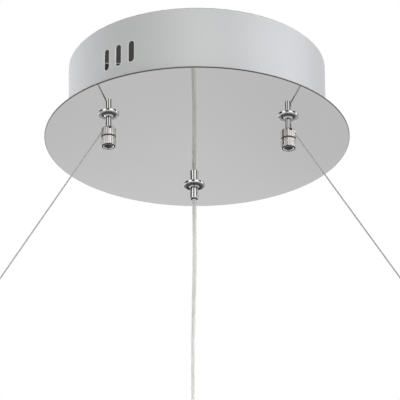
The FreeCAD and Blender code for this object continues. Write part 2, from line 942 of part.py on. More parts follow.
def rounded_block(low, high, radius):
    """Box with its upright edges rounded."""
    box = block(low, high)
    upright = []
    for edge in box.Edges:
        span = edge.BoundBox
        if span.ZLength > span.XLength + span.YLength:
            upright.append(edge)
    return box.makeFillet(radius, upright)


def make_driver():
    """Driver case on adhesive pads, with end bosses for its leads, a lid and the lid's screws."""
    half_x = driver_length / 2
    half_y = driver_width / 2
    y = driver_place_y
    case = rounded_block(
        Vector(-half_x, y - half_y, driver_floor),
        Vector(half_x, y + half_y, driver_lid_floor),
        driver_corner_radius,
    )
    bosses = []
    for side in (-1, 1):
        bosses.append(
            Part.makeCylinder(
                driver_port_boss_diameter / 2,
                driver_port_boss_length + overrun,
                Vector(side * (half_x - overrun), y, driver_port_z),
                Vector(side, 0, 0),
            )
        )
    parts["driver_case"] = case.fuse(bosses).removeSplitter()
    inset = driver_lid_inset
    lid = rounded_block(
        Vector(-half_x + inset, y - half_y + inset, driver_lid_floor),
        Vector(half_x - inset, y + half_y - inset, driver_lid_floor + driver_lid_height),
        driver_corner_radius - inset,
    )
    top_edges = [edge for edge in lid.Edges if edge.BoundBox.ZMin > driver_lid_floor + driver_lid_height / 2]
    lid = lid.makeFillet(driver_lid_round, top_edges)
    wells = []
    screws = []
    top = driver_lid_floor + driver_lid_height
    for x in (-half_x + driver_screw_inset, half_x - driver_screw_inset):
        for side_y in (y - half_y + driver_screw_inset, y + half_y - driver_screw_inset):
            radius = driver_screw_diameter / 2 + stem_hole_clearance
            wells.append(post(radius, top - driver_screw_height, top + overrun, x, side_y))
            screws.append(driver_screw(x, side_y, top))
    parts["driver_lid"] = cut_all(lid, wells)
    parts["driver_screws"] = Part.makeCompound(screws)
    pads = []
    for side in (-1, 1):
        x = side * pad_spacing / 2
        pads.append(
            block(
                Vector(x - pad_length / 2, y - pad_width / 2, floor_top),
                Vector(x + pad_length / 2, y + pad_width / 2, driver_floor),
            )
        )
    parts["driver_pads"] = Part.makeCompound(pads)


def driver_screw(x, y, top):
    """Flat lid screw in its well, with a cross recess."""
    head = post(driver_screw_diameter / 2, top - driver_screw_height, top, x, y)
    recess = cross_recess()
    recess.rotate(Vector(0, 0, 0), Vector(0, 1, 0), -QUARTER_TURN)
    return head.cut(moved(recess, Vector(x, y, top + cross_recess_depth - driver_screw_height / 2)))


def terminal_pole_x(i):
    """Middle of one pole of the terminal block."""
    return terminal_place_x + (i - (terminal_pole_count - 1) / 2) * terminal_pitch


def terminal_entry_z():
    """Height of the lead entries."""
    return floor_top + pad_thickness + terminal_base_height / 2


def terminal_front_y():
    """Face of the terminal block towards the driver."""
    return terminal_place_y - terminal_depth / 2


def make_terminal_block():
    """Three-pole screw terminal: base, a tower with two screw wells per pole, and lead entries."""
    low = floor_top + pad_thickness
    shelf = low + terminal_base_height
    top = shelf + terminal_tower_height
    half_x = terminal_pole_count * terminal_pitch / 2
    half_y = terminal_depth / 2
    y = terminal_place_y
    left = terminal_place_x - half_x
    right = terminal_place_x + half_x
    base = block(Vector(left, y - half_y, low), Vector(right, y + half_y, shelf))
    towers = []
    tools = []
    screws = []
    for i in range(terminal_pole_count):
        x = terminal_pole_x(i)
        half = terminal_tower_width / 2
        towers.append(block(Vector(x - half, y - half_y, shelf - overrun), Vector(x + half, y + half_y, top)))
        for side in (-1, 1):
            well_y = y + side * terminal_screw_spacing / 2
            radius = terminal_screw_diameter / 2
            well_low = top - terminal_screw_well_depth
            tools.append(post(radius + terminal_screw_clearance, well_low, top + overrun, x, well_y))
            screws.append(terminal_screw(x, well_y, well_low))
            tools.append(
                Part.makeCylinder(
                    terminal_entry_diameter / 2,
                    terminal_entry_depth,
                    Vector(x, y + side * half_y, terminal_entry_z()),
                    Vector(0, -side, 0),
                )
            )
    parts["terminal_block"] = cut_all(base.fuse(towers).removeSplitter(), tools)
    parts["terminal_screws"] = Part.makeCompound(screws)
    parts["terminal_pad"] = block(Vector(left, y - half_y, floor_top), Vector(right, y + half_y, low))


def terminal_screw(x, y, low):
    """Slotted screw at the bottom of its well."""
    radius = terminal_screw_diameter / 2
    top = low + terminal_screw_height
    half = cross_recess_width / 2
    slot = block(
        Vector(x - radius - overrun, y - half, top - terminal_screw_height / 2),
        Vector(x + radius + overrun, y + half, top + overrun),
    )
    return post(radius, low, top, x, y).cut(slot)


def make_leads():
    """Input leads from the driver to two poles, and the earth lead from the third pole up to the bracket.

    Each route has a few hand-chosen points beside its start and a few beside its end.
    """
    radius = lead_diameter / 2
    spread = radius + crimp_clearance
    reach_in = terminal_entry_depth - crimp_clearance
    front = [
        Vector(terminal_pole_x(i), terminal_front_y() + reach_in, terminal_entry_z())
        for i in range(terminal_pole_count)
    ]
    live = beside(
        Vector(-driver_end_x, driver_place_y - spread, driver_port_z),
        [(0.0, 0.0, 0.0), (-16.0, 0.0, 0.0), (-28.0, 13.1, 0.3), (-20.0, 30.1, -1.7)],
    )
    live += beside(front[0], [(-32.0, -13.5, 0.5), (-12.0, -19.5, 0.0), (0.0, -13.5, 0.0), (0.0, 0.0, 0.0)])
    neutral = beside(
        Vector(-driver_end_x, driver_place_y + spread, driver_port_z),
        [(0.0, 0.0, 0.0), (-11.0, 0.0, 0.0), (-18.0, 12.9, 1.3), (-8.0, 24.9, 0.3), (12.0, 22.9, -0.7)],
    )
    neutral += beside(front[1], [(-11.0, -28.0, 2.0), (0.0, -17.5, 0.0), (0.0, 0.0, 0.0)])
    earth = beside(
        front[2] + Vector(0, terminal_depth - 2 * reach_in, 0),
        [(0.0, 0.0, 0.0), (0.0, 11.5, 0.0), (-4.0, 21.5, 8.3), (-5.0, 24.5, 22.3)],
    )
    earth += beside(
        Vector(earth_screw_place, lug_barrel_start() + earth_lug_barrel_length, lug_barrel_z()),
        [(-26.0, 56.3, -16.6), (-13.0, 40.3, -6.6), (-3.0, 25.3, -1.6), (0.0, 13.3, 0.0), (0.0, 0.0, 0.0)],
    )
    parts["live_lead"] = tube("live_lead", live, radius)
    parts["neutral_lead"] = tube("neutral_lead", neutral, radius)
    parts["earth_lead"] = tube("earth_lead", earth, radius)


def lug_barrel_z():
    """Height of the earth lug's barrel, just under the bracket."""
    return -bracket_thickness - earth_lug_barrel_diameter / 2 - crimp_clearance


def lug_barrel_start():
    """Near end of the lug's barrel, clear of the screw's head."""
    return earth_screw_head_diameter / 2 + stem_hole_clearance


def make_earth_point():
    """Ring lug and screw that bond the bracket."""
    under = -bracket_thickness
    low = under - earth_lug_thickness
    ring = post(earth_lug_diameter / 2, low, under, earth_screw_place)
    barrel = Part.makeCylinder(
        earth_lug_barrel_diameter / 2,
        earth_lug_barrel_length,
        Vector(earth_screw_place, lug_barrel_start(), lug_barrel_z()),
        Vector(0, 1, 0),
    )
    lug = ring.fuse(barrel).removeSplitter()
    clear = side_screw_diameter / 2 + stem_hole_clearance
    parts["earth_lug"] = lug.cut(post(clear, low - overrun, under + overrun, earth_screw_place))
    head_low = low - earth_screw_head_height
    shank = post(side_screw_diameter / 2, head_low, -earth_screw_tip_sink, earth_screw_place)
    head = post(earth_screw_head_diameter / 2, head_low, low, earth_screw_place)
    recess = cross_recess()
    recess.rotate(Vector(0, 0, 0), Vector(0, 1, 0), QUARTER_TURN)
    screw = head.fuse(shank).removeSplitter()
    parts["earth_screw"] = screw.cut(moved(recess, Vector(earth_screw_place, 0, head_low)))


def main():
    make_plate()
    make_drum()
    make_bracket()
    make_side_screws()
    make_wire_lock(
        "left",
        left_lock_azimuth,
        left_wire_direction,
        left_wire_lean,
        left_wire_reach,
        left_set_screw_azimuth,
    )
    make_wire_lock(
        "right",
        right_lock_azimuth,
        right_wire_direction,
        right_wire_lean,
        right_wire_reach,
        right_set_screw_azimuth,
    )
    make_cord_outlet()
    make_driver()
    make_terminal_block()
    make_leads()
    make_earth_point()
    os.makedirs("parts", exist_ok=True)
    for name, shape in parts.items():
        assert shape.isValid(), name
        shape.exportStep("parts/" + name + ".step")
        print(name, "solids", len(shape.Solids), "volume", round(shape.Volume, 1))


main()
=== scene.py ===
from math import ceil, cos, pi, radians, sin, tan

import bmesh
import bpy
import numpy as np
from mathutils import Matrix, Vector


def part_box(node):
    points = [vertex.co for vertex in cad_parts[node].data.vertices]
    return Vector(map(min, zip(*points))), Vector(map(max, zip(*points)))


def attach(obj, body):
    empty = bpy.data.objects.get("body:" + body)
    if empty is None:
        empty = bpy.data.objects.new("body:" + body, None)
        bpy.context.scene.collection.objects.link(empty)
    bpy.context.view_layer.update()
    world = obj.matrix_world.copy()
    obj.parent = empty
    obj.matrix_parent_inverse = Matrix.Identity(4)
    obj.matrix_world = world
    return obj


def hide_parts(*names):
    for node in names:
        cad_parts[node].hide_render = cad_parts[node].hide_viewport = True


bl_info = {
    "name": "Chandelier canopy",
    "version": (1, 0, 0),
    "blender": (4, 5, 0),
    "location": "View3D > Sidebar > Canopy",
    "description": "Dresses a suspended chandelier's canopy: wires, cord, leads, finishes and stage",
    "category": "Object",
}

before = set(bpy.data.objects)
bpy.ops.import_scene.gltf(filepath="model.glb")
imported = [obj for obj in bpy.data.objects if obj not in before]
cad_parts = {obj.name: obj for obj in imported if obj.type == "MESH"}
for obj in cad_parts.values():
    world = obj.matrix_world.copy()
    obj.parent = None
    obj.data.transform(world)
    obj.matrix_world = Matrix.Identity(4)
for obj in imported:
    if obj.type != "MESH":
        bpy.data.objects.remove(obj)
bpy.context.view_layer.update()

# Sizes in metres where nothing else is said. z = 0 is the ceiling, and the near side is -Y
MM = 0.001
TURN = 2 * pi
plate_low, plate_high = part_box("mirror_plate")
drum_low, drum_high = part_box("drum_shell")
plate_face = plate_low.z
plate_radius = plate_high.x
drum_radius = drum_high.x

# The vent slots: middle azimuth and pitch in degrees, height above the plate, width and straight length
vent_middle = 231.75
vent_pitch = 6.75
vent_height = 31.4 * MM
vent_width = 5.4 * MM
vent_straight = 13.6 * MM

# The two steel wires: azimuth and lean of the outer run in degrees, and its length to the end fitting
wire_runs = {
    "left": (206.2, 30.3, 0.1971),
    "right": (337.3, 30.9, 0.1890),
}
wire_diameter = 1.2 * MM
wire_crossing_depth = 7.5 * MM
wire_beside_bend = 6 * wire_diameter
wire_past_stop = 0.6 * MM

# The power cord: its hanging route as offsets in millimetres from its outlet on the plate, and its inner
# route as azimuth in degrees, distance inside the drum's wall and height above the plate in millimetres
cord_offsets = [
    (0.0, 0.0, 0.0),
    (0.0, 0.0, -26.0),
    (0.5, 0.4, -66.0),
    (-0.6, 0.2, -112.0),
    (-1.3, -0.4, -160.0),
    (-1.3, -0.4, -205.0),
]
cord_along_wall = [
    (81.3, 25.9, 33.0),
    (60.1, 28.6, 34.0),
    (43.1, 21.3, 30.0),
    (28.3, 14.0, 24.0),
    (17.1, 9.6, 18.0),
    (7.3, 10.0, 14.0),
]
drum_wall = 1.0
cord_diameter = 3.5 * MM
lead_diameter = 2.2 * MM

# Sizes of the threaded stems, in millimetres: dish_depth is how far their dish lies below the plate
stem_radius = 4.95
stem_past_nut = 1.6
stem_chamfer = 0.6
stem_thread_depth = 0.55
stem_run_in = 0.3
dish_depth = 0.55
lock_top_depth = 12.6 * MM
lock_groove_height = 1.3 * MM

# The photograph's view: turn and elevation in degrees, distance, centre, aim, lens in mm and roll in degrees
view_turn = -1.6618
view_elevation = -27.0371
view_distance = 3.0
view_centre = Vector((0, 0, -0.063))
view_aim = Vector((0.0023193, 0, -0.1194288))
view_lens = 329.4887
view_roll = -0.1347

floor_size = 60.0
floor_depth = 2.45

# The cards that the chrome shows stand in a ring: its distance, how far below level its edges lie in degrees,
# and each card's start and end from the camera's azimuth, with its light
camera_azimuth = 268.34
card_distance = 2
card_drops = (10, 45)
card_ring = [
    (-112.0, -70.0, 0.03),
    (-62.0, -30.0, 2.9),
    (-25.0, 2.0, 0.03),
    (10.0, 46.0, 2.9),
    (57.0, 84.0, 0.04),
    (86.0, 100.0, 2.4),
]

# The lamps: distance and size, then each one's azimuth from the camera's and its height in degrees, its
# power in watts, and daylight tint or not
lamp_distance = 2.4
lamp_size = 1.2
lamp_places = [
    (-150.0, 5.0, 5.6, True),
    (-126.0, 5.0, 18.2, True),
    (-100.0, 5.0, 7.0, True),
    (-20.0, 5.0, 4.6, False),
    (5.0, 5.0, 11.1, False),
    (55.0, 5.0, 14.7, True),
    (88.0, 5.0, 19.8, True),
    (180.0, 5.0, 16.0, False),
    (-10.0, -35.0, 12.0, False),
]


class Sock:
    """A node's output that takes part in sums: each operator adds one Math node."""

    def __init__(self, shader, socket):
        self.shader = shader
        self.socket = socket

    def __add__(self, other):
        return self.shader.math("ADD", self, other)

    def __sub__(self, other):
        return self.shader.math("SUBTRACT", self, other)

    def __rsub__(self, other):
        return self.shader.math("SUBTRACT", other, self)

    def __mul__(self, other):
        return self.shader.math("MULTIPLY", self, other)

    def __truediv__(self, other):
        return self.shader.math("DIVIDE", self, other)

    def __rtruediv__(self, other):
        return self.shader.math("DIVIDE", other, self)

    def __gt__(self, other):
        return self.shader.math("GREATER_THAN", self, other)

    def __lt__(self, other):
        return self.shader.math("LESS_THAN", self, other)

    __radd__ = __add__
    __rmul__ = __mul__

    def step(self, low, high):
        """0 below low, 1 above high, and a smooth rise between them."""
        sockets = {"Value": self, "From Min": low, "From Max": high, "To Min": 0.0, "To Max": 1.0}
        return self.shader.add("ShaderNodeMapRange", sockets, interpolation_type="SMOOTHSTEP")


class Shader:
    """Builds one material or world. add() makes any node from its type, its sockets' values and settings."""

    def __init__(self, name, kind="materials"):
        self.made = getattr(bpy.data, kind).new(name)
        self.made.use_nodes = True
        self.tree = self.made.node_tree
        self.tree.nodes.clear()

    def add(self, kind, sockets=None, out=0, **settings):
        node = self.tree.nodes.new(kind)
        for name, value in settings.items():
            setattr(node, name, value)
        for name, value in (sockets or {}).items():
            if isinstance(value, Sock):
                self.tree.links.new(value.socket, node.inputs[name])
            else:
                node.inputs[name].default_value = value
        return Sock(self, node.outputs[out])

    def place(self):
        """The point on the piece, in its own object coordinates."""
        return self.add("ShaderNodeTexCoord", out="Object")

    def axes(self, vector):
        """A vector's three numbers."""
        first = self.add("ShaderNodeSeparateXYZ", {"Vector": vector})
        return [Sock(self, output) for output in first.socket.node.outputs]

    def noise(self, vector, scale, detail=2.0, roughness=0.5):
        """Soft noise from 0 to 1."""
        sockets = {"Vector": vector, "Scale": scale, "Detail": detail, "Roughness": roughness}
        return self.add("ShaderNodeTexNoise", sockets)

    def turning(self, z, scale=6000.0):
        """Fine turning marks round a piece."""
        return self.noise(self.add("ShaderNodeCombineXYZ", {"Z": z}), scale)

    def away(self, x, y):
        """Distance of a point from an upright line, from its offsets x and y."""
        flat = self.add("ShaderNodeCombineXYZ", {"X": x, "Y": y})
        return self.add("ShaderNodeVectorMath", {0: flat}, out=1, operation="LENGTH")

    def math(self, operation, *values):
        """A Math node on values."""
        return self.add("ShaderNodeMath", dict(enumerate(values)), operation=operation)

    def mix(self, share, first, second):
        """Colour between two colours."""
        first, second = (c if isinstance(c, Sock) else (*c, 1.0) for c in (first, second))
        return self.add("ShaderNodeMix", {0: share, 6: first, 7: second}, out=2, data_type="RGBA")

    def bump(self, height, distance, strength):
        """Normal from a height from 0 to 1 that stands for a distance in metres."""
        return self.add("ShaderNodeBump", {"Height": height, "Distance": distance, "Strength": strength})

    def rays(self, *names):
        """What a Light Path node says of the rays with those names."""
        outputs = self.add("ShaderNodeLightPath").socket.node.outputs
        return [Sock(self, outputs[name]) for name in names]

    def seen(self):
        """1 where it is seen directly, in a reflection or through a clear piece, 0 where it only lights."""
        camera, glossy, clear = self.rays("Is Camera Ray", "Is Glossy Ray", "Is Transmission Ray")
        return self.math("MAXIMUM", self.math("MAXIMUM", camera, glossy), clear)

    def behind(self):
        """1 on the back of a face."""
        return Sock(self, self.add("ShaderNodeNewGeometry").socket.node.outputs["Backfacing"])

    def finish(self, surface, output="ShaderNodeOutputMaterial"):
        """Ends the material or world with its surface shader."""
        node = self.tree.nodes.new(output)
        self.tree.links.new(surface.socket, node.inputs["Surface"])
        return self.made

    def paint(self, **sockets):
        """Ends the material with the main surface shader. Its sockets are named as in base_color."""
        named = {}
        for name, value in sockets.items():
            named[name.replace("_", " ").title().replace("Ior", "IOR")] = value
        return self.finish(self.add("ShaderNodeBsdfPrincipled", named))


def shade(color, light):
    """A colour made lighter or darker."""
    return tuple(min(1.0, c * light) for c in color)


def polished_plate():
    """Mirror-polished sheet: faint wipe marks, painted reflection that makes the face a shade darker to the
    left and right and shifts its tone along a slant, and a dark sawn edge.
    """
    s = Shader("polished_plate")
    x, y, _ = s.axes(s.place())
    out = s.away(x, y)
    edge = out.step(plate_radius - 0.7 * MM, plate_radius - 0.3 * MM)
    wiped = s.noise(s.place(), 9.0, 3.0)
    # Painted reflection: the face's tone falls towards its sides and shifts along a slant, mixed with the
    # real wipe marks
    side = s.math("ABSOLUTE", x) / plate_radius * (1.0 - y * y / plate_radius**2)
    along = (y * 0.7 - x * 0.3) / plate_radius * 0.5 + wiped * 0.2 + 0.4 - side * 0.5
    face = s.mix(along, (0.54, 0.54, 0.54), (0.64, 0.64, 0.64))
    color = s.mix(edge, face, (0.10, 0.085, 0.07))
    return s.paint(base_color=color, metallic=1.0, roughness=0.015 + wiped * 0.02 + edge * 0.4)


def silver_paint():
    """Satin silver lacquer with metallic grain, a painted highlight as a light band round each vent slot, and
    painted shade inside the drum, near black, not metallic and rougher. The reach from a slot's middle line
    is sqrt(across^2 + past its straight part^2)."""
    s = Shader("silver_paint")
    point = s.place()
    x, y, z = s.axes(point)
    out = s.away(x, y)
    inside = (out < drum_radius - 0.8 * MM) * (z > drum_low.z + 0.8 * MM)
    grain = s.noise(point, 2600.0, 1.0)
    mottle = s.noise(point, 420.0, 3.0, 0.6)
    cloud = s.noise(point, 22.0)
    tone = s.mix(grain * 0.6 + mottle * 0.4, (0.462, 0.465, 0.465), (0.546, 0.549, 0.549))
    lacquer = s.mix(cloud * 0.35, tone, (0.509, 0.512, 0.512))
    along = s.math("ARCTAN2", y, x) * drum_radius
    slot_pitch = radians(vent_pitch) * drum_radius
    start = radians(vent_middle - 360.0) * drum_radius
    across_slot = s.math("PINGPONG", along - start, slot_pitch / 2)
    from_middle = s.math("ABSOLUTE", z - plate_high.z - vent_height)
    past_straight = s.math("MAXIMUM", from_middle - vent_straight / 2, 0.0)
    reach = s.math("SQRT", across_slot * across_slot + past_straight * past_straight)
    near = s.math("ABSOLUTE", along - start) < slot_pitch * 1.45
    # Painted highlight: a light band of lacquer round each vent slot's outer edge
    slot_rim_highlight = near * (reach < vent_width / 2 + 0.4 * MM) * (out > drum_radius - 0.5 * MM)
    lacquer = s.mix(slot_rim_highlight * 0.75, lacquer, (0.86, 0.86, 0.86))
    # Painted shade: the drum's inside is made near black, not metallic and rougher
    color = s.mix(inside, lacquer, s.mix(mottle, (0.07, 0.07, 0.068), (0.12, 0.12, 0.115)))
    metal = 0.35 - inside * 0.35
    normal = s.bump(grain * 0.7 + mottle * 0.3, 0.00002, 0.35)
    rough = 0.42 + grain * 0.08 + inside * 0.25
    return s.paint(base_color=color, metallic=metal, roughness=rough, normal=normal)


def bright_chrome(name, low, high, rough_low, rough_high):
    """Bright plating with fine turning marks round the piece."""
    s = Shader(name)
    point = s.place()
    _, _, z = s.axes(point)
    turned = s.turning(z)
    haze = s.noise(point, 160.0)
    color = s.mix(haze, low, high)
    rough = rough_low + turned * (rough_high - rough_low)
    return s.paint(base_color=color, metallic=1.0, roughness=rough, normal=s.bump(turned, 0.000002, 0.3))


def flange_chrome(node, tone, dish_shade_from, dish_shade_to):
    """Flange chrome: bright round the outside, with painted shade that makes it greyer on the underside's
    ring and dark round the dish.
    """
    s = Shader("chrome_" + node)
    point = s.place()
    x, y, _ = s.axes(point)
    middle = middle_of(node)
    low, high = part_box(node)
    radius = (high.x - low.x) / 2
    out = s.away(x - middle.x, y - middle.y)
    haze = s.noise(point, 160.0)
    # Painted shade: inside its outer rim the flange is greyed to the given tone, and made near black round
    # the dish
    ring = 1.0 - out.step(radius - 0.35 * MM, radius - 0.1 * MM)
    dish_shade = out.step(dish_shade_from - 0.15 * MM, dish_shade_from) * (1.0 - out.step(dish_shade_to, dish_shade_to + 0.15 * MM))
    bright = s.mix(haze, (0.58, 0.58, 0.575), (0.64, 0.64, 0.635))
    grey = (0.98, 0.99, 1.0)
    color = s.mix(ring, bright, s.mix(haze, shade(grey, tone), shade(grey, tone * 1.15)))
    color = s.mix(dish_shade, color, (0.03, 0.03, 0.03))
    return s.paint(base_color=color, metallic=1.0, roughness=0.10 + haze * 0.05)


def stem_chrome(name, rough):
    """Chrome of a threaded stem, duller on the cone under the flange, and darker there with painted shade."""
    s = Shader(name)
    point = s.place()
    _, _, z = s.axes(point)
    haze = s.noise(point, 160.0)
    dish = plate_face - dish_depth * MM
    # Painted shade: the cone just under the dish is made near black
    cone = z.step(dish - 1.5 * MM, dish - 1.1 * MM) * (z < dish + 0.05 * MM)
    bright = s.mix(haze, (0.50, 0.50, 0.50), (0.58, 0.58, 0.57))
    color = s.mix(cone, bright, (0.08, 0.08, 0.08))
    return s.paint(base_color=color, metallic=1.0, roughness=rough + haze * 0.05 + cone * 0.1)


def satin_chrome(side):
    """Lock chrome: satin flutes, and painted shade, near black and rougher, in the groove between the halves,
    in the socket, round the end's rim and in the set screw's hole. The reach from the hole's middle is
    sqrt(beside^2 + above^2)."""
    s = Shader("satin_chrome_" + side)
    point = s.place()
    x, y, z = s.axes(point)
    middle = middle_of("clamp_screw_" + side)
    end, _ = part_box("clamp_screw_" + side)
    foot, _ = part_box("lock_body_" + side)
    right, back = x - middle.x, y - middle.y
    out = s.away(right, back)
    groove = (z > foot.z - lock_groove_height - 0.05 * MM) * (z < foot.z + 0.12 * MM)
    socket = (out < 3.6 * MM) * (z > end.z + 0.5 * MM) * (z < foot.z - lock_groove_height)
    rim = (out > 4.4 * MM) * (z < end.z + 0.45 * MM)
    screw = middle_of("lock_set_screw_" + side)
    facing = Vector((screw.x - middle.x, screw.y - middle.y, 0)).normalized()
    beside_screw = right * facing.y - back * facing.x
    above_screw = z - screw.z
    reach = s.math("SQRT", beside_screw * beside_screw + above_screw * above_screw)
    hole = (reach < 1.3 * MM) * (right * facing.x + back * facing.y > 2.0 * MM)
    # Painted shade: the groove, socket, end rim and screw hole are made near black
    dark = s.math("MAXIMUM", s.math("MAXIMUM", groove, socket), s.math("MAXIMUM", rim, hole))
    turned = s.turning(z)
    haze = s.noise(point, 260.0)
    bright = s.mix(haze, (0.47, 0.46, 0.445), (0.57, 0.56, 0.545))
    color = s.mix(dark, bright, (0.045, 0.043, 0.040))
    return s.paint(base_color=color, metallic=1.0, roughness=0.22 + turned * 0.10 + dark * 0.25)


def plated_strip():
    """Dull zinc plated steel of the ceiling bracket, with painted shade: a near-black band along the top of
    its sheared edges.
    """
    s = Shader("plated_strip")
    point = s.place()
    _, y, z = s.axes(point)
    _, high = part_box("ceiling_bracket")
    # Painted shade: the top of the bracket's long sheared edges is made near black
    edge_shade_band = (s.math("ABSOLUTE", y) > high.y - 0.05 * MM) * (z > -1.15 * MM)
    cloud = s.noise(point, 60.0, 3.0)
    grain = s.noise(point, 1800.0)
    color = s.mix(cloud * 0.6 + grain * 0.4, (0.54, 0.54, 0.53), (0.68, 0.68, 0.665))
    color = s.mix(edge_shade_band, color, (0.05, 0.05, 0.046))
    normal = s.bump(grain, 0.00001, 0.3)
    return s.paint(base_color=color, metallic=0.3, roughness=0.5 + grain * 0.15, normal=normal)


def zinc_steel():
    """Bright zinc plating with a faint crystal bloom."""
    s = Shader("zinc_steel")
    point = s.place()
    bloom = s.add("ShaderNodeTexVoronoi", {"Vector": point, "Scale": 320.0})
    cloud = s.noise(point, 60.0, 3.0)
    color = s.mix(bloom * 0.5 + cloud * 0.5, (0.52, 0.54, 0.56), (0.72, 0.74, 0.76))
    rough = 0.26 + cloud * 0.18
    return s.paint(base_color=color, metallic=1.0, roughness=rough, normal=s.bump(bloom, 0.00001, 0.2))


def moulded(name, color, rough, grain_scale, depth):
    """Moulded plastic with a fine spark-eroded texture."""
    s = Shader(name)
    point = s.place()
    grain = s.noise(point, grain_scale)
    cloud = s.noise(point, 40.0)
    tone = s.mix(cloud, shade(color, 0.94), shade(color, 1.03))
    return s.paint(base_color=tone, roughness=rough + grain * 0.08, normal=s.bump(grain, depth, 0.4))


def brass():
    """Turned brass."""
    s = Shader("turned_brass")
    point = s.place()
    _, _, z = s.axes(point)
    turned = s.turning(z, 5000.0)
    color = s.mix(s.noise(point, 200.0), (0.62, 0.46, 0.20), (0.78, 0.60, 0.30))
    return s.paint(base_color=color, metallic=1.0, roughness=0.2 + turned * 0.15)


def black_oxide():
    """Oiled black oxide on a small screw."""
    s = Shader("black_oxide")
    cloud = s.noise(s.place(), 900.0)
    color = s.mix(cloud, (0.012, 0.012, 0.013), (0.035, 0.034, 0.033))
    return s.paint(base_color=color, metallic=0.2, roughness=0.55 + cloud * 0.15)


def foam():
    """Closed-cell foam pad."""
    s = Shader("foam")
    point = s.place()
    cells = s.add("ShaderNodeTexVoronoi", {"Vector": point, "Scale": 1500.0})
    color = s.mix(cells, (0.70, 0.70, 0.69), (0.84, 0.84, 0.83))
    return s.paint(base_color=color, roughness=0.85, normal=s.bump(cells, 0.0002, 0.6))


def wire_steel():
    """Drawn steel strands, dull and a little cloudy."""
    s = Shader("wire_steel")
    cloud = s.noise(s.place(), 1400.0)
    color = s.mix(cloud, (0.43, 0.425, 0.415), (0.49, 0.485, 0.475))
    return s.paint(base_color=color, metallic=0.2, roughness=0.6 + cloud * 0.1)


def clear_jacket():
    """Clear, slightly milky soft jacket of the power cord."""
    s = Shader("clear_jacket")
    cloud = s.noise(s.place(), 300.0)
    color = s.mix(cloud, (0.92, 0.91, 0.88), (0.98, 0.97, 0.95))
    return s.paint(base_color=color, roughness=0.10 + cloud * 0.06, transmission_weight=0.45, ior=1.30)


def lead_insulation(name, color):
    """Extruded lead insulation with a faint drag bloom."""
    s = Shader(name)
    cloud = s.noise(s.place(), 250.0)
    tone = s.mix(cloud, shade(color, 0.92), shade(color, 1.05))
    return s.paint(base_color=tone, roughness=0.32 + cloud * 0.08, coat_weight=0.15)


def spun_grid(row_count, side_count, closed=False):
    """Quad faces of a grid whose rows each go round; closed joins the last row to the first."""
    rows = np.arange(row_count if closed else row_count - 1)[:, None]
    columns = np.arange(side_count)[None, :]
    after = (columns + 1) % side_count
    here = rows * side_count
    ahead = (rows + 1) % row_count * side_count
    return np.stack([here + columns, here + after, ahead + after, ahead + columns], -1).reshape(-1, 4)


def turned(profile, sides, shape, closed=True):
    """Surface of revolution about Z from (r, z) points in millimetres: (r cos a, r sin a, z), where
    shape(r, z, a) changes the radius. A closed profile makes a ring; an open one gets a fan at each end."""
    radius, height = np.array(profile, float).T
    angle = np.arange(sides) * TURN / sides
    out = shape(np.repeat(radius[:, None], sides, 1), height[:, None], angle[None, :])
    level = np.repeat(height[:, None], sides, 1)
    points = np.stack([out * np.cos(angle), out * np.sin(angle), level], -1).reshape(-1, 3) * MM
    faces = spun_grid(len(profile), sides, closed)
    return (points, faces.tolist()) if closed else capped(points, faces, len(profile), sides)


def thread(pitch, depth, low, high):
    """Shape for turned: between two heights the radius falls by depth times a triangle wave of
    z / pitch - a / turn, which fades in over half a pitch at each end."""

    def cut(radius, z, a):
        wave = np.abs((z / pitch - a / TURN) % 1.0 * 2 - 1)
        fade = np.clip(np.minimum(z - low, high - z) / (0.5 * pitch), 0, 1)
        return radius - depth * wave * fade

    return cut


def put(name, data):
    """A new object in the scene."""
    thing = bpy.data.objects.new(name, data)
    bpy.context.scene.collection.objects.link(thing)
    return thing


def make_piece(name, points, faces, materials, body, pick=None, sharp=30.0):
    """A mesh object from arrays of points and faces, riding on a body; pick gives each face's material."""
    mesh = bpy.data.meshes.new(name)
    mesh.from_pydata(np.asarray(points).tolist(), [], faces)
    for material in materials:
        mesh.materials.append(material)
    if pick is not None:
        mesh.polygons.foreach_set("material_index", pick)
    return settle(name, mesh, body, sharp)


def settle(name, mesh, body, sharp):
    """Turns a mesh's faces outwards, smooths all but its sharp edges and lets it ride on a body."""
    form = bmesh.new()
    form.from_mesh(mesh)
    bmesh.ops.recalc_face_normals(form, faces=form.faces)
    form.to_mesh(mesh)
    form.free()
    mesh.polygons.foreach_set("use_smooth", np.full(len(mesh.polygons), True))
    mesh.set_sharp_from_angle(angle=radians(sharp))
    mesh.update()
    piece = put(name, mesh)
    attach(piece, body)
    return piece


def spline_curve(name, points, radius=0.0):
    """A NURBS curve object with those control points, round if it has a radius."""
    curve = bpy.data.curves.new(name, "CURVE")
    curve.dimensions = "3D"
    curve.resolution_u = 24
    spline = curve.splines.new("NURBS")
    spline.points.add(len(points) - 1)
    for control, point in zip(spline.points, points):
        control.co = (*point, 1.0)
    spline.order_u = 3
    spline.use_endpoint_u = True
    curve.bevel_depth = radius
    curve.bevel_resolution = 6
    curve.use_fill_caps = True
    return put(name, curve)


def spline_line(points, step):
    """Points a step apart along the smooth curve of those control points."""
    bare = spline_curve("route", points)
    mesh = bpy.data.meshes.new_from_object(bare)
    line = np.array([v.co for v in mesh.vertices], float)
    bpy.data.meshes.remove(mesh)
    curve = bare.data
    bpy.data.objects.remove(bare)
    bpy.data.curves.remove(curve)
    along = np.concatenate([[0], np.cumsum(np.linalg.norm(np.diff(line, axis=0), axis=1))])
    at = np.linspace(0, along[-1], max(2, ceil(along[-1] / step) + 1))
    return np.stack([np.interp(at, along, line[:, k]) for k in range(3)], axis=1), at


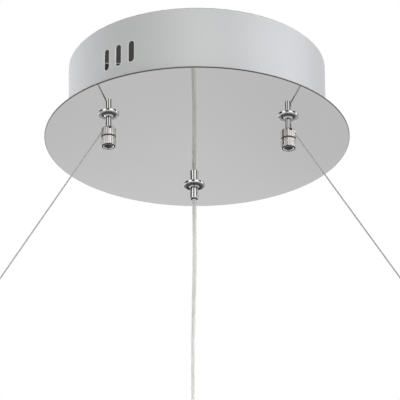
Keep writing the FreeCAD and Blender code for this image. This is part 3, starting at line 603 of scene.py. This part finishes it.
def across(line, reference):
    """Two unit directions square to a line at each of its points, the first nearest the reference."""
    ahead = np.gradient(line, axis=0)
    ahead /= np.linalg.norm(ahead, axis=1)[:, None]
    first = reference - (ahead @ reference)[:, None] * ahead
    first /= np.linalg.norm(first, axis=1)[:, None]
    return first, np.cross(ahead, first)


def capped(points, faces, rings, sides):
    """Points and faces of a tube grid with a fan at each end."""
    count = len(points)
    ring = np.arange(sides)
    after = (ring + 1) % sides
    last = (rings - 1) * sides
    first_fan = np.stack([np.full(sides, count), after, ring], -1)
    last_fan = np.stack([np.full(sides, count + 1), last + ring, last + after], -1)
    points = np.vstack([points, points[:sides].mean(0), points[-sides:].mean(0)])
    return points, faces.tolist() + first_fan.tolist() + last_fan.tolist()


def round_tube(line, radius, sides):
    """Points and faces of a round tube: line + radius (n cos a + b sin a), n and b square to the line."""
    first, second = across(line, np.array([0.3, 0.2, 0.93]))
    angle = np.arange(sides) * TURN / sides
    ring = first[:, None] * np.cos(angle)[None, :, None] + second[:, None] * np.sin(angle)[None, :, None]
    points = (line[:, None] + ring * radius).reshape(-1, 3)
    return capped(points, spun_grid(len(line), sides), len(line), sides)


def beside(place, offsets):
    """Points given as offsets in millimetres from one place."""
    return [place + Vector(offset) * MM for offset in offsets]


def middle_of(node):
    """Middle of a node's box."""
    low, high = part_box(node)
    return (low + high) / 2


def outward(direction, lean):
    """Unit vector along a wire's outer run."""
    turn, tilt = radians(direction), radians(lean)
    return Vector((sin(tilt) * cos(turn), sin(tilt) * sin(turn), -cos(tilt)))


class CANOPY_PG_wires(bpy.types.PropertyGroup):
    strand_count: bpy.props.IntProperty(name="Strands", description="Outer strands of each wire", default=12)
    lay_length: bpy.props.FloatProperty(
        name="Lay", description="Length in which a strand goes round once", default=0.010, unit="LENGTH"
    )


class CANOPY_PG_cord(bpy.types.PropertyGroup):
    conductor_diameter: bpy.props.FloatProperty(
        name="Conductor",
        description="Diameter of each conductor in the clear cord",
        default=0.0012,
        unit="LENGTH",
    )
    twist_length: bpy.props.FloatProperty(
        name="Twist", description="Length in which the conductors go round once", default=0.19, unit="LENGTH"
    )


class CANOPY_PG_leads(bpy.types.PropertyGroup):
    live: bpy.props.FloatVectorProperty(
        name="Live", description="Colour of the live lead", default=(0.20, 0.085, 0.035), subtype="COLOR"
    )
    neutral: bpy.props.FloatVectorProperty(
        name="Neutral", description="Colour of the neutral lead", default=(0.03, 0.10, 0.42), subtype="COLOR"
    )
    earth: bpy.props.FloatVectorProperty(
        name="Earth", description="Colour of the earth lead", default=(0.05, 0.27, 0.06), subtype="COLOR"
    )
    earth_stripe: bpy.props.FloatVectorProperty(
        name="Stripe",
        description="Colour of the earth lead's stripes",
        default=(0.72, 0.60, 0.05),
        subtype="COLOR",
    )


class CANOPY_PG_threads(bpy.types.PropertyGroup):
    stem_pitch: bpy.props.FloatProperty(
        name="Stem pitch", description="Pitch of the stems, in mm", default=1.0
    )
    stud_pitch: bpy.props.FloatProperty(
        name="Stud pitch", description="Pitch of the end studs, in mm", default=0.5
    )


class CANOPY_PG_stage(bpy.types.PropertyGroup):
    world_light: bpy.props.FloatProperty(
        name="World light", description="Strength of the even light", default=0.3
    )
    card_light: bpy.props.FloatProperty(
        name="Card light", description="Share of their light that the cards in the chrome give", default=1.0
    )
    floor_color: bpy.props.FloatVectorProperty(
        name="Floor", description="Colour of the floor", default=(0.86, 0.86, 0.86), subtype="COLOR"
    )


class CANOPY_OT_finishes(bpy.types.Operator):
    """Gives each carried-over piece of the frame its finish"""

    bl_idname = "canopy.finishes"
    bl_label = "Finishes"

    def execute(self, context):
        white = moulded("white_plastic", (0.80, 0.80, 0.78), 0.38, 2200.0, 0.00002)
        zinc = zinc_steel()
        turned_brass = brass()
        oxide = black_oxide()
        pad = foam()
        finishes = {
            "mirror_plate": polished_plate(),
            "drum_shell": silver_paint(),
            "ceiling_bracket": plated_strip(),
            # The tone and the two radii give the flange's painted shade
            "cord_flange": flange_chrome("cord_flange", 0.20, 5.5 * MM, 7.2 * MM),
            "cord_bush": moulded("dark_rubber", (0.03, 0.03, 0.03), 0.6, 1500.0, 0.00003),
            "connector_pins": turned_brass,
            "driver_case": white,
            "driver_lid": white,
            "driver_pads": pad,
            "terminal_block": moulded("nylon", (0.72, 0.71, 0.67), 0.3, 900.0, 0.00002),
            "terminal_pad": pad,
        }
        for name in ("side", "driver", "terminal"):
            finishes[name + "_screws"] = zinc
        for name in ("cord_washer", "cord_nut", "earth_lug", "earth_screw"):
            finishes[name] = zinc
        for side in wire_runs:
            # The tone and the two radii give the flange's painted shade
            finishes["lock_flange_" + side] = flange_chrome("lock_flange_" + side, 0.31, 4.7 * MM, 6.0 * MM)
            finishes["lock_washer_" + side] = finishes["lock_nut_" + side] = zinc
            finishes["lock_body_" + side] = finishes["clamp_screw_" + side] = satin_chrome(side)
            finishes["clamp_pad_" + side] = finishes["wire_stop_" + side] = turned_brass
            finishes["lock_set_screw_" + side] = oxide
            for name in ("lock_body_", "clamp_screw_", "lock_set_screw_"):
                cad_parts[name + side].visible_glossy = False
        for name, material in finishes.items():
            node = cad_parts[name]
            node.data.materials.clear()
            node.data.materials.append(material)
        return {"FINISHED"}


class CANOPY_OT_wires(bpy.types.Operator):
    """Makes the two stranded steel wires"""

    bl_idname = "canopy.wires"
    bl_label = "Steel wires"

    def execute(self, context):
        look = context.scene.canopy_wires
        material = wire_steel()
        for side, (direction, lean, reach) in wire_runs.items():
            stop_low, stop_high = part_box("wire_stop_" + side)
            x, y = (stop_low.x + stop_high.x) / 2, (stop_low.y + stop_high.y) / 2
            top = Vector((x, y, stop_high.z + wire_past_stop))
            crossing = Vector((x, y, plate_face - wire_crossing_depth))
            run = outward(direction, lean)
            route = [
                top,
                crossing + Vector((0, 0, wire_beside_bend)),
                crossing,
                crossing + run * wire_beside_bend,
                crossing + run * reach,
            ]
            line, along = spline_line(route, look.lay_length / 24)
            level = np.array([cos(radians(direction + 90)), sin(radians(direction + 90)), 0.0])
            piece = self.stranded(side, line, along, level, look, material)
            fitting = self.fitting(side, direction, lean, crossing + run * reach)
        return {"FINISHED"}

    def fitting(self, side, direction, lean, end):
        """Crimped sleeve and threaded stud along -Z, then laid along the wire. The crimp is six flats:
        the radius is at most f / cos(a folded into one flat)."""
        look = bpy.context.scene.canopy_threads
        sleeve_radius, stud_radius, flat_reach = 1.9, 1.5, 1.62
        profile = [(0.7, 0.0), (1.4, -0.1), (sleeve_radius, -1.0), (sleeve_radius, -2.6)]
        profile += [(sleeve_radius, z) for z in np.linspace(-3.0, -9.0, 13)]
        profile += [(sleeve_radius, -9.4), (sleeve_radius, -11.7), (1.6, -12.0), (stud_radius, -12.0)]
        profile += [(stud_radius, z) for z in np.arange(-12.1, -20.6, -look.stud_pitch / 6)]
        profile += [(stud_radius, -20.7), (1.2, -21.0)]
        screw = thread(look.stud_pitch, 0.28, -20.7, -12.2)

        def shape(radius, z, a):
            part = TURN / 6
            flat = flat_reach / np.cos(a % part - part / 2)
            pressed = np.clip(np.minimum(-z - 2.9, 9.1 + z) / 0.3, 0, 1)
            crimped = radius + pressed * (np.minimum(radius, flat) - radius)
            return np.where(z > -10, crimped, screw(radius, z, a))

        points, faces = turned(profile, 36, shape, closed=False)
        place = Matrix.Translation(end) @ Matrix.Rotation(radians(direction), 4, "Z")
        place = np.array(place @ Matrix.Rotation(radians(-lean), 4, "Y"))
        points = points @ place[:3, :3].T + place[:3, 3]
        zinc = zinc_steel()
        name = "wire_end_" + side + "_threaded"
        piece = make_piece(name, points, faces, [zinc], side + "_lock")
        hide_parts("wire_end_" + side)
        return piece

    def stranded(self, side, line, along, level, look, material):
        """Lobed section turned along the line. A lobe's outline is its strand's circle: the distance out is
        c cos(a) + sqrt(r^2 - c^2 sin(a)^2), with a the angle from the strand's middle. Neighbours touch where
        r = c sin(half their part of the turn), and r + c is the wire's radius."""
        sides = look.strand_count * 6
        round_angle = np.arange(sides) * TURN / sides
        part = TURN / look.strand_count
        center = wire_diameter / 2 / (1 + sin(part / 2))
        strand = wire_diameter / 2 - center
        from_middle = (round_angle + part / 2) % part - part / 2
        root = np.clip(strand**2 - (center * np.sin(from_middle)) ** 2, 0, None)
        out = center * np.cos(from_middle) + np.sqrt(root)
        first, second = across(line, level)
        turn = round_angle[None, :] + (along / look.lay_length * TURN)[:, None]
        offset = first[:, None] * np.cos(turn)[..., None] + second[:, None] * np.sin(turn)[..., None]
        points = (line[:, None] + offset * out[None, :, None]).reshape(-1, 3)
        points, faces = capped(points, spun_grid(len(line), sides), len(line), sides)
        name = "steel_wire_" + side + "_strands"
        piece = make_piece(name, points, faces, [material], side + "_lock", sharp=80.0)
        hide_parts("steel_wire_" + side)
        return piece


class CANOPY_OT_cord(bpy.types.Operator):
    """Makes the clear power cord with its two conductors, outside and inside the drum, and its connector"""

    bl_idname = "canopy.cord"
    bl_label = "Power cord"

    def execute(self, context):
        look = context.scene.canopy_cord
        outlet = middle_of("cord_washer")
        outlet.z = plate_face
        clear = clear_jacket()
        metal = bright_chrome("tinned_conductor", (0.60, 0.59, 0.57), (0.68, 0.67, 0.65), 0.35, 0.45)
        hanging = beside(outlet, cord_offsets)
        jacket, cores = self.clear_cord("power_cord", hanging, look, clear, metal)
        connector = self.connector(hanging[-1])
        case_low, case_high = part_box("driver_case")
        port = Vector((case_high.x, (case_low.y + case_high.y) / 2, middle_of("driver_case").z))
        inner = beside(outlet, [(0.0, 0.0, 0.0), (0.0, 0.0, 23.2)])
        for azimuth, inside, above in cord_along_wall:
            radius, turn = drum_radius - (drum_wall + inside) * MM, radians(azimuth)
            inner.append(Vector((radius * cos(turn), radius * sin(turn), plate_high.z + above * MM)))
        inner += beside(port, [(25.0, 8.0, 0.0), (13.0, 0.0, 0.0), (0.0, 0.0, 0.0)])
        self.clear_cord("cord_inner_run", inner, look, clear, metal)
        return {"FINISHED"}

    def clear_cord(self, node, route, look, clear, metal):
        """Round clear jacket along a route, and the two conductors in it."""
        jacket = spline_curve(node + "_jacket", route, cord_diameter / 2)
        jacket.data.materials.append(clear)
        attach(jacket, "root")
        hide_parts(node)
        line, along = spline_line(route, 0.001)
        cores = []
        for name, start in (("_core_a", 0.0), ("_core_b", pi)):
            cores.append(self.core(node + name, line, along, start, look, metal))
        return jacket, cores

    def core(self, name, line, along, start, look, material):
        """Round tube whose middle winds round the cord's line: line + away (n cos t + b sin t)."""
        first, second = across(line, np.array([1.0, 0.02, 0.01]))
        turn = along / look.twist_length * TURN + start
        away = look.conductor_diameter * 0.54
        middle = line + (first * np.cos(turn)[:, None] + second * np.sin(turn)[:, None]) * away
        points, faces = round_tube(middle, look.conductor_diameter / 2, 12)
        return make_piece(name, points, faces, [material], "root", sharp=80.0)

    def connector(self, end):
        """Inline plug: ribbed neck, waisted barrel with grip ridges. A rib lowers the radius by a raised
        cosine of the height; the ridges lower it by a raised cosine of the angle, 20 to a turn."""
        ridge_count, barrel_radius = 20, 5.25
        profile = [(2.0, 0.0), (2.8, 0.0)]
        profile += [(2.8 + 2.15 * t, -7.0 * t) for t in np.linspace(0.02, 1.0, 50)]
        profile += [(5.1, -7.6), (barrel_radius, -8.0)]
        profile += [(barrel_radius, z) for z in np.linspace(-8.4, -25.0, 50)]
        profile += [(5.2, -25.6), (4.95, -25.95), (4.7, -26.0), (3.9, -26.0), (3.9, -25.6)]

        def shape(radius, z, a):
            rib = np.where((z < -0.6) & (z > -6.6), 0.5 - 0.5 * np.cos((z + 0.6) / 1.2 * TURN), 0) * 0.45
            reach = np.clip(np.minimum(-z - 10.0, 23.0 + z) / 1.2, 0, 1)
            ridge = reach * 0.22 * (0.5 - 0.5 * np.cos(ridge_count * a))
            seam = 0.18 * np.exp(-(((z + 8.9) / 0.25) ** 2))
            return radius - rib - ridge - seam

        points, faces = turned(profile, 120, shape, closed=False)
        white = moulded("connector_white", (0.80, 0.80, 0.78), 0.38, 2200.0, 0.00002)
        points += np.array(end)
        piece = make_piece("cord_connector_ribbed", points, faces, [white], "root")
        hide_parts("cord_connector")
        return piece


class CANOPY_OT_leads(bpy.types.Operator):
    """Makes the live, neutral and earth leads inside the drum"""

    bl_idname = "canopy.leads"
    bl_label = "Leads"

    def execute(self, context):
        look = context.scene.canopy_leads
        case_low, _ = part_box("driver_case")
        block_low, block_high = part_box("terminal_block")
        lug_low, lug_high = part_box("earth_lug")
        port = middle_of("driver_case")
        port.x = case_low.x
        side = Vector((0, lead_diameter / 2 + 0.02 * MM, 0))
        reach_in = 3.98 * MM
        y, z = block_low.y + reach_in, block_low.z + 3.5 * MM
        entries = [Vector((block_low.x + x * MM, y, z)) for x in (5, 15, 25)]
        live = beside(port - side, [(0, 0, 0), (-16, 0, 0), (-28, 13.1, 0.3), (-20, 30.1, -1.7)])
        live += beside(entries[0], [(-32, -13.5, 0.5), (-12, -19.5, 0), (0, -13.5, 0), (0, 0, 0)])
        neutral = beside(port + side, [(0, 0, 0), (-11, 0, 0), (-18, 12.9, 1.3), (-8, 24.9, 0.3)])
        neutral += beside(port + side, [(12, 22.9, -0.7)])
        neutral += beside(entries[1], [(-11, -28, 2), (0, -17.5, 0), (0, 0, 0)])
        back = Vector((entries[2].x, block_high.y - reach_in, entries[2].z))
        earth = beside(back, [(0, 0, 0), (0, 11.5, 0), (-4, 21.5, 8.3), (-5, 24.5, 22.3)])
        barrel_end = Vector(((lug_low.x + lug_high.x) / 2, lug_high.y, lug_low.z + 1.6 * MM))
        earth += beside(barrel_end, [(-26, 56.3, -16.6), (-13, 40.3, -6.6), (-3, 25.3, -1.6)])
        earth += beside(barrel_end, [(0, 13.3, 0), (0, 0, 0)])
        self.lead("live_lead", live, [look.live], "brown_lead")
        self.lead("neutral_lead", neutral, [look.neutral], "blue_lead")
        self.lead("earth_lead", earth, [look.earth, look.earth_stripe], "earth_lead")
        return {"FINISHED"}

    def lead(self, node, route, colors, slot):
        """Round tube along a route. A second colour goes on two opposite bands, each 3 of the 16 sides."""
        line, _ = spline_line(route, 0.0012)
        points, faces = round_tube(line, lead_diameter / 2, 16)
        finishes = [lead_insulation(node + "_" + str(i), tuple(color)) for i, color in enumerate(colors)]
        pick = np.zeros(len(faces), int)
        if len(colors) == 2:
            around = np.arange((len(line) - 1) * 16) % 16
            pick[: len(around)] = around % 8 < 3
        piece = make_piece(node + "_insulation", points, faces, finishes, "root", pick, sharp=80.0)
        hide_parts(node)


class CANOPY_OT_stems(bpy.types.Operator):
    """Makes the threaded stems, the cord nozzle and the wire locks' necks"""

    bl_idname = "canopy.stems"
    bl_label = "Threaded stems and necks"

    def execute(self, context):
        pitch = context.scene.canopy_threads.stem_pitch
        chrome = stem_chrome("stem_chrome", 0.04)
        neck_hole, nut_bore, cord_bore, mouth_bore, nozzle_length = 2.53, 3.18, 2.15, 3.02, 13.0
        plain = bright_chrome("neck_chrome", (0.43, 0.43, 0.42), (0.49, 0.49, 0.48), 0.03, 0.09)
        for side in wire_runs:
            low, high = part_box("lock_stem_" + side)
            foot, top = low.z / MM, high.z / MM
            dish = foot + 2.2
            ring = [(neck_hole, foot), (2.83, foot), (4.5, dish - 0.3), (4.62, dish - 0.09), (4.8, dish)]
            ring += self.threaded_side(dish, top)
            ring += [(nut_bore, top), (nut_bore, foot + 1.6), (neck_hole, foot + 1.6)]
            self.stem("lock_stem_" + side, ring, top, pitch, chrome)
            self.neck(side, plain)
        low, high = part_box("cord_nozzle")
        mouth, top = low.z / MM, high.z / MM
        dish = mouth + nozzle_length - dish_depth
        ring = [(cord_bore, mouth + 5.0), (mouth_bore, mouth + 5.0), (mouth_bore, mouth + 0.06)]
        ring += [(3.08, mouth), (3.4, mouth), (3.55, mouth + 0.04), (3.66, mouth + 0.15), (3.7, mouth + 0.3)]
        ring += [(3.3, dish - 2.0), (5.3, dish - 0.3), (5.42, dish - 0.09), (5.6, dish)]
        ring += self.threaded_side(dish, top) + [(cord_bore, top)]
        self.stem("cord_nozzle", ring, top, pitch, stem_chrome("nozzle_chrome", 0.16))
        return {"FINISHED"}

    def threaded_side(self, dish, top):
        """Profile points up the outside of a stem, close together above the nut where the thread shows."""
        start = top - stem_past_nut - stem_run_in
        rows = [(stem_radius, z) for z in np.arange(start, top - stem_chamfer, 0.125)]
        end = [(stem_radius, top - stem_chamfer), (stem_radius - stem_chamfer, top)]
        return [(stem_radius, dish), *rows, *end]

    def stem(self, node, ring, top, pitch, chrome):
        """A stem turned from its ring of profile points, with the thread in its outer side alone."""
        middle = middle_of(node)
        screw = thread(pitch, stem_thread_depth, top - stem_past_nut - stem_run_in, top - 0.2)

        def shape(radius, z, a):
            return np.where(radius > stem_radius - 0.1, screw(radius, z, a), radius)

        points, faces = turned(ring, 72, shape)
        points += np.array((middle.x, middle.y, 0))
        piece = make_piece(node + "_threaded", points, faces, [chrome], "root")
        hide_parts(node)

    def neck(self, side, chrome):
        """The neck in two lengths, cut just inside the lock. The lower one takes no part in reflections."""
        cut = Vector((0, 0, plate_face - lock_top_depth - 0.3 * MM))
        for name, upward in (("_upper", True), ("_lower", False)):
            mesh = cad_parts["lock_neck_" + side].data.copy()
            mesh.materials.clear()
            mesh.materials.append(chrome)
            if "custom_normal" in mesh.attributes:
                mesh.attributes.remove(mesh.attributes["custom_normal"])
            form = bmesh.new()
            form.from_mesh(mesh)
            bmesh.ops.remove_doubles(form, verts=form.verts, dist=1e-6)
            whole = [*form.verts, *form.edges, *form.faces]
            split = bmesh.ops.bisect_plane(
                form, geom=whole, plane_co=cut, plane_no=(0, 0, 1), clear_inner=upward, clear_outer=not upward
            )
            rim = [part for part in split["geom_cut"] if isinstance(part, bmesh.types.BMEdge)]
            bmesh.ops.triangle_fill(form, edges=rim, use_beauty=True)
            form.to_mesh(mesh)
            form.free()
            piece = settle("lock_neck_" + side + name, mesh, side + "_lock", 30.0)
            if upward:
                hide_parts("lock_neck_" + side)
            else:
                piece.visible_glossy = False


class CANOPY_OT_stage(bpy.types.Operator):
    """Makes the floor, the lamps, the white surroundings and the camera"""

    bl_idname = "canopy.stage"
    bl_label = "Stage"

    def execute(self, context):
        look = context.scene.canopy_stage
        self.floor(look)
        self.drum_shade_sheet()
        self.world(look)
        self.lamps()
        self.cards(look)
        self.camera()
        context.scene.view_settings.view_transform = "Standard"
        return {"FINISHED"}

    def sheet(self, name, points, faces, material):
        """A sheet that isn't part of the object."""
        mesh = bpy.data.meshes.new(name)
        mesh.from_pydata(points, [], faces)
        mesh.materials.append(material)
        panel = put(name, mesh)
        return panel

    def floor(self, look):
        """Pale floor far below, seen only from above it."""
        s = Shader("pale_floor")
        diffuse = s.add("ShaderNodeBsdfDiffuse", {"Color": (*look.floor_color, 1.0)})
        white = s.add("ShaderNodeEmission", {"Color": (1, 1, 1, 1), "Strength": 1.0})
        lit = s.add("ShaderNodeMixShader", {0: s.seen() * 0.8, 1: diffuse, 2: white})
        clear = s.add("ShaderNodeBsdfTransparent")
        surface = s.add("ShaderNodeMixShader", {0: s.behind(), 1: lit, 2: clear})
        half = floor_size / 2
        corners = [(x * half, y * half, -floor_depth) for x, y in ((-1, -1), (1, -1), (1, 1), (-1, 1))]
        self.sheet("floor", corners, [(0, 1, 2, 3)], s.finish(surface))

    def drum_shade_sheet(self):
        """Painted shade for the drum's inside: a faintly glowing near-black sheet that closes the drum, seen
        only by camera rays from below.
        """
        s = Shader("drum_shade_sheet")
        (camera,) = s.rays("Is Camera Ray")
        # Painted shade: the faint dark glow stands in for the shade inside the closed drum
        dark = s.add("ShaderNodeEmission", {"Color": (0.055, 0.055, 0.048, 1), "Strength": 1.0})
        clear = s.add("ShaderNodeBsdfTransparent")
        surface = s.add("ShaderNodeMixShader", {0: camera * (1 - s.behind()), 1: clear, 2: dark})
        angle = np.arange(64) * TURN / 64
        radius = drum_radius - 0.5 * MM
        points = np.stack([radius * np.cos(angle), radius * np.sin(angle), np.full(64, 0.4 * MM)], 1)
        self.sheet("drum_shade_sheet", points.tolist(), [list(range(63, -1, -1))], s.finish(surface))

    def world(self, look):
        """Even soft light, and plain white where it is seen."""
        s = Shader("studio", "worlds")
        bpy.context.scene.world = s.made
        light = s.add("ShaderNodeBackground", {"Color": (1, 1, 1, 1), "Strength": look.world_light})
        white = s.add("ShaderNodeBackground", {"Color": (1, 1, 1, 1), "Strength": 1.0})
        s.finish(s.add("ShaderNodeMixShader", {0: s.seen(), 1: light, 2: white}), "ShaderNodeOutputWorld")

    def lamps(self):
        """Large soft lamps round the drum."""
        for azimuth, rise, power, daylight in lamp_places:
            turn, tilt = radians(camera_azimuth + azimuth), radians(rise)
            away = Vector((cos(turn) * cos(tilt), sin(turn) * cos(tilt), sin(tilt)))
            light = bpy.data.lights.new("soft_lamp", "AREA")
            light.size = lamp_size
            light.energy = power
            light.color = (0.92, 0.93, 1.0) if daylight else (1.0, 1.0, 0.995)
            lamp = put("soft_lamp", light)
            lamp.location = away * lamp_distance
            lamp.rotation_euler = (-away).to_track_quat("-Z", "Y").to_euler()
            lamp.visible_glossy = rise > 0

    def cards(self, look):
        """Dark and bright cards in a ring below the canopy, for the stripes in its chrome: a card's points
        are (d cos a, d sin a, -d tan drop). A dark sheet lies low on the camera's side."""
        count = 9
        faces = [[k, k + 1, count + k + 1, count + k] for k in range(count - 1)]
        drops = [-card_distance * tan(radians(drop)) for drop in card_drops]
        for start, end, light in card_ring:
            turn = np.radians(camera_azimuth + np.linspace(start, end, count))
            flat = np.stack([card_distance * np.cos(turn), card_distance * np.sin(turn)], -1)
            rows = [np.column_stack([flat, np.full(count, drop)]) for drop in drops]
            self.card(np.vstack(rows), faces, light * look.card_light, 2)
        turn = np.radians(camera_azimuth + np.array([-35.0, 35.0, 35.0, -35.0]))
        away = np.array([1.7, 1.7, 0.7, 0.7])
        sheet = np.stack([away * np.cos(turn), away * np.sin(turn), np.full(4, -1.9)], -1)
        self.card(sheet, [[0, 1, 2, 3]], 0.05, 1)

    def card(self, points, faces, light, bounces):
        """A sheet that only reflections see, from the given bounce on."""
        s = Shader("card")
        (depth,) = s.rays("Ray Depth")
        glow = s.add("ShaderNodeEmission", {"Strength": light})
        clear = s.add("ShaderNodeBsdfTransparent")
        mixed = s.add("ShaderNodeMixShader", {0: depth > bounces - 0.5, 1: clear, 2: glow})
        card = self.sheet("card", points.tolist(), faces, s.finish(mixed))
        for kind in ("camera", "diffuse", "transmission", "shadow"):
            setattr(card, "visible_" + kind, False)

    def camera(self):
        """The photograph's view, from below with a long lens."""
        turn, rise = radians(view_turn), radians(view_elevation)
        away = Vector((sin(turn) * cos(rise), -cos(turn) * cos(rise), sin(rise)))
        data = bpy.data.cameras.new("camera")
        data.lens = view_lens
        data.sensor_width = 36.0
        data.clip_end = 100.0
        camera = put("camera", data)
        camera.location = view_centre + away * view_distance
        aim = view_aim - camera.location
        straight = aim.to_track_quat("-Z", "Y").to_matrix().to_4x4()
        roll = Matrix.Rotation(radians(view_roll), 4, "Z")
        camera.rotation_euler = (straight @ roll).to_euler()
        bpy.context.scene.camera = camera


class CANOPY_PT_panel(bpy.types.Panel):
    """Lists the operators and their settings"""

    bl_idname = "CANOPY_PT_panel"
    bl_label = "Canopy"
    bl_space_type = "VIEW_3D"
    bl_region_type = "UI"
    bl_category = "Canopy"

    def draw(self, context):
        for operator in operators:
            self.layout.operator(operator.bl_idname)
        for name in groups:
            group = getattr(context.scene, name)
            for prop in group.bl_rna.properties:
                if prop.identifier not in ("name", "rna_type"):
                    self.layout.prop(group, prop.identifier)


operators = (
    CANOPY_OT_stage,
    CANOPY_OT_finishes,
    CANOPY_OT_wires,
    CANOPY_OT_cord,
    CANOPY_OT_leads,
    CANOPY_OT_stems,
)
groups = {
    "canopy_wires": CANOPY_PG_wires,
    "canopy_cord": CANOPY_PG_cord,
    "canopy_leads": CANOPY_PG_leads,
    "canopy_threads": CANOPY_PG_threads,
    "canopy_stage": CANOPY_PG_stage,
}
classes = (*groups.values(), *operators, CANOPY_PT_panel)


def register():
    for entry in classes:
        bpy.utils.register_class(entry)
    for name, group in groups.items():
        setattr(bpy.types.Scene, name, bpy.props.PointerProperty(type=group))


def unregister():
    for name in groups:
        delattr(bpy.types.Scene, name)
    for entry in reversed(classes):
        bpy.utils.unregister_class(entry)


def main():
    register()
    bpy.ops.canopy.stage()
    bpy.ops.canopy.finishes()
    bpy.ops.canopy.wires()
    bpy.ops.canopy.cord()
    bpy.ops.canopy.leads()
    bpy.ops.canopy.stems()


if __name__ == "__main__":
    main()
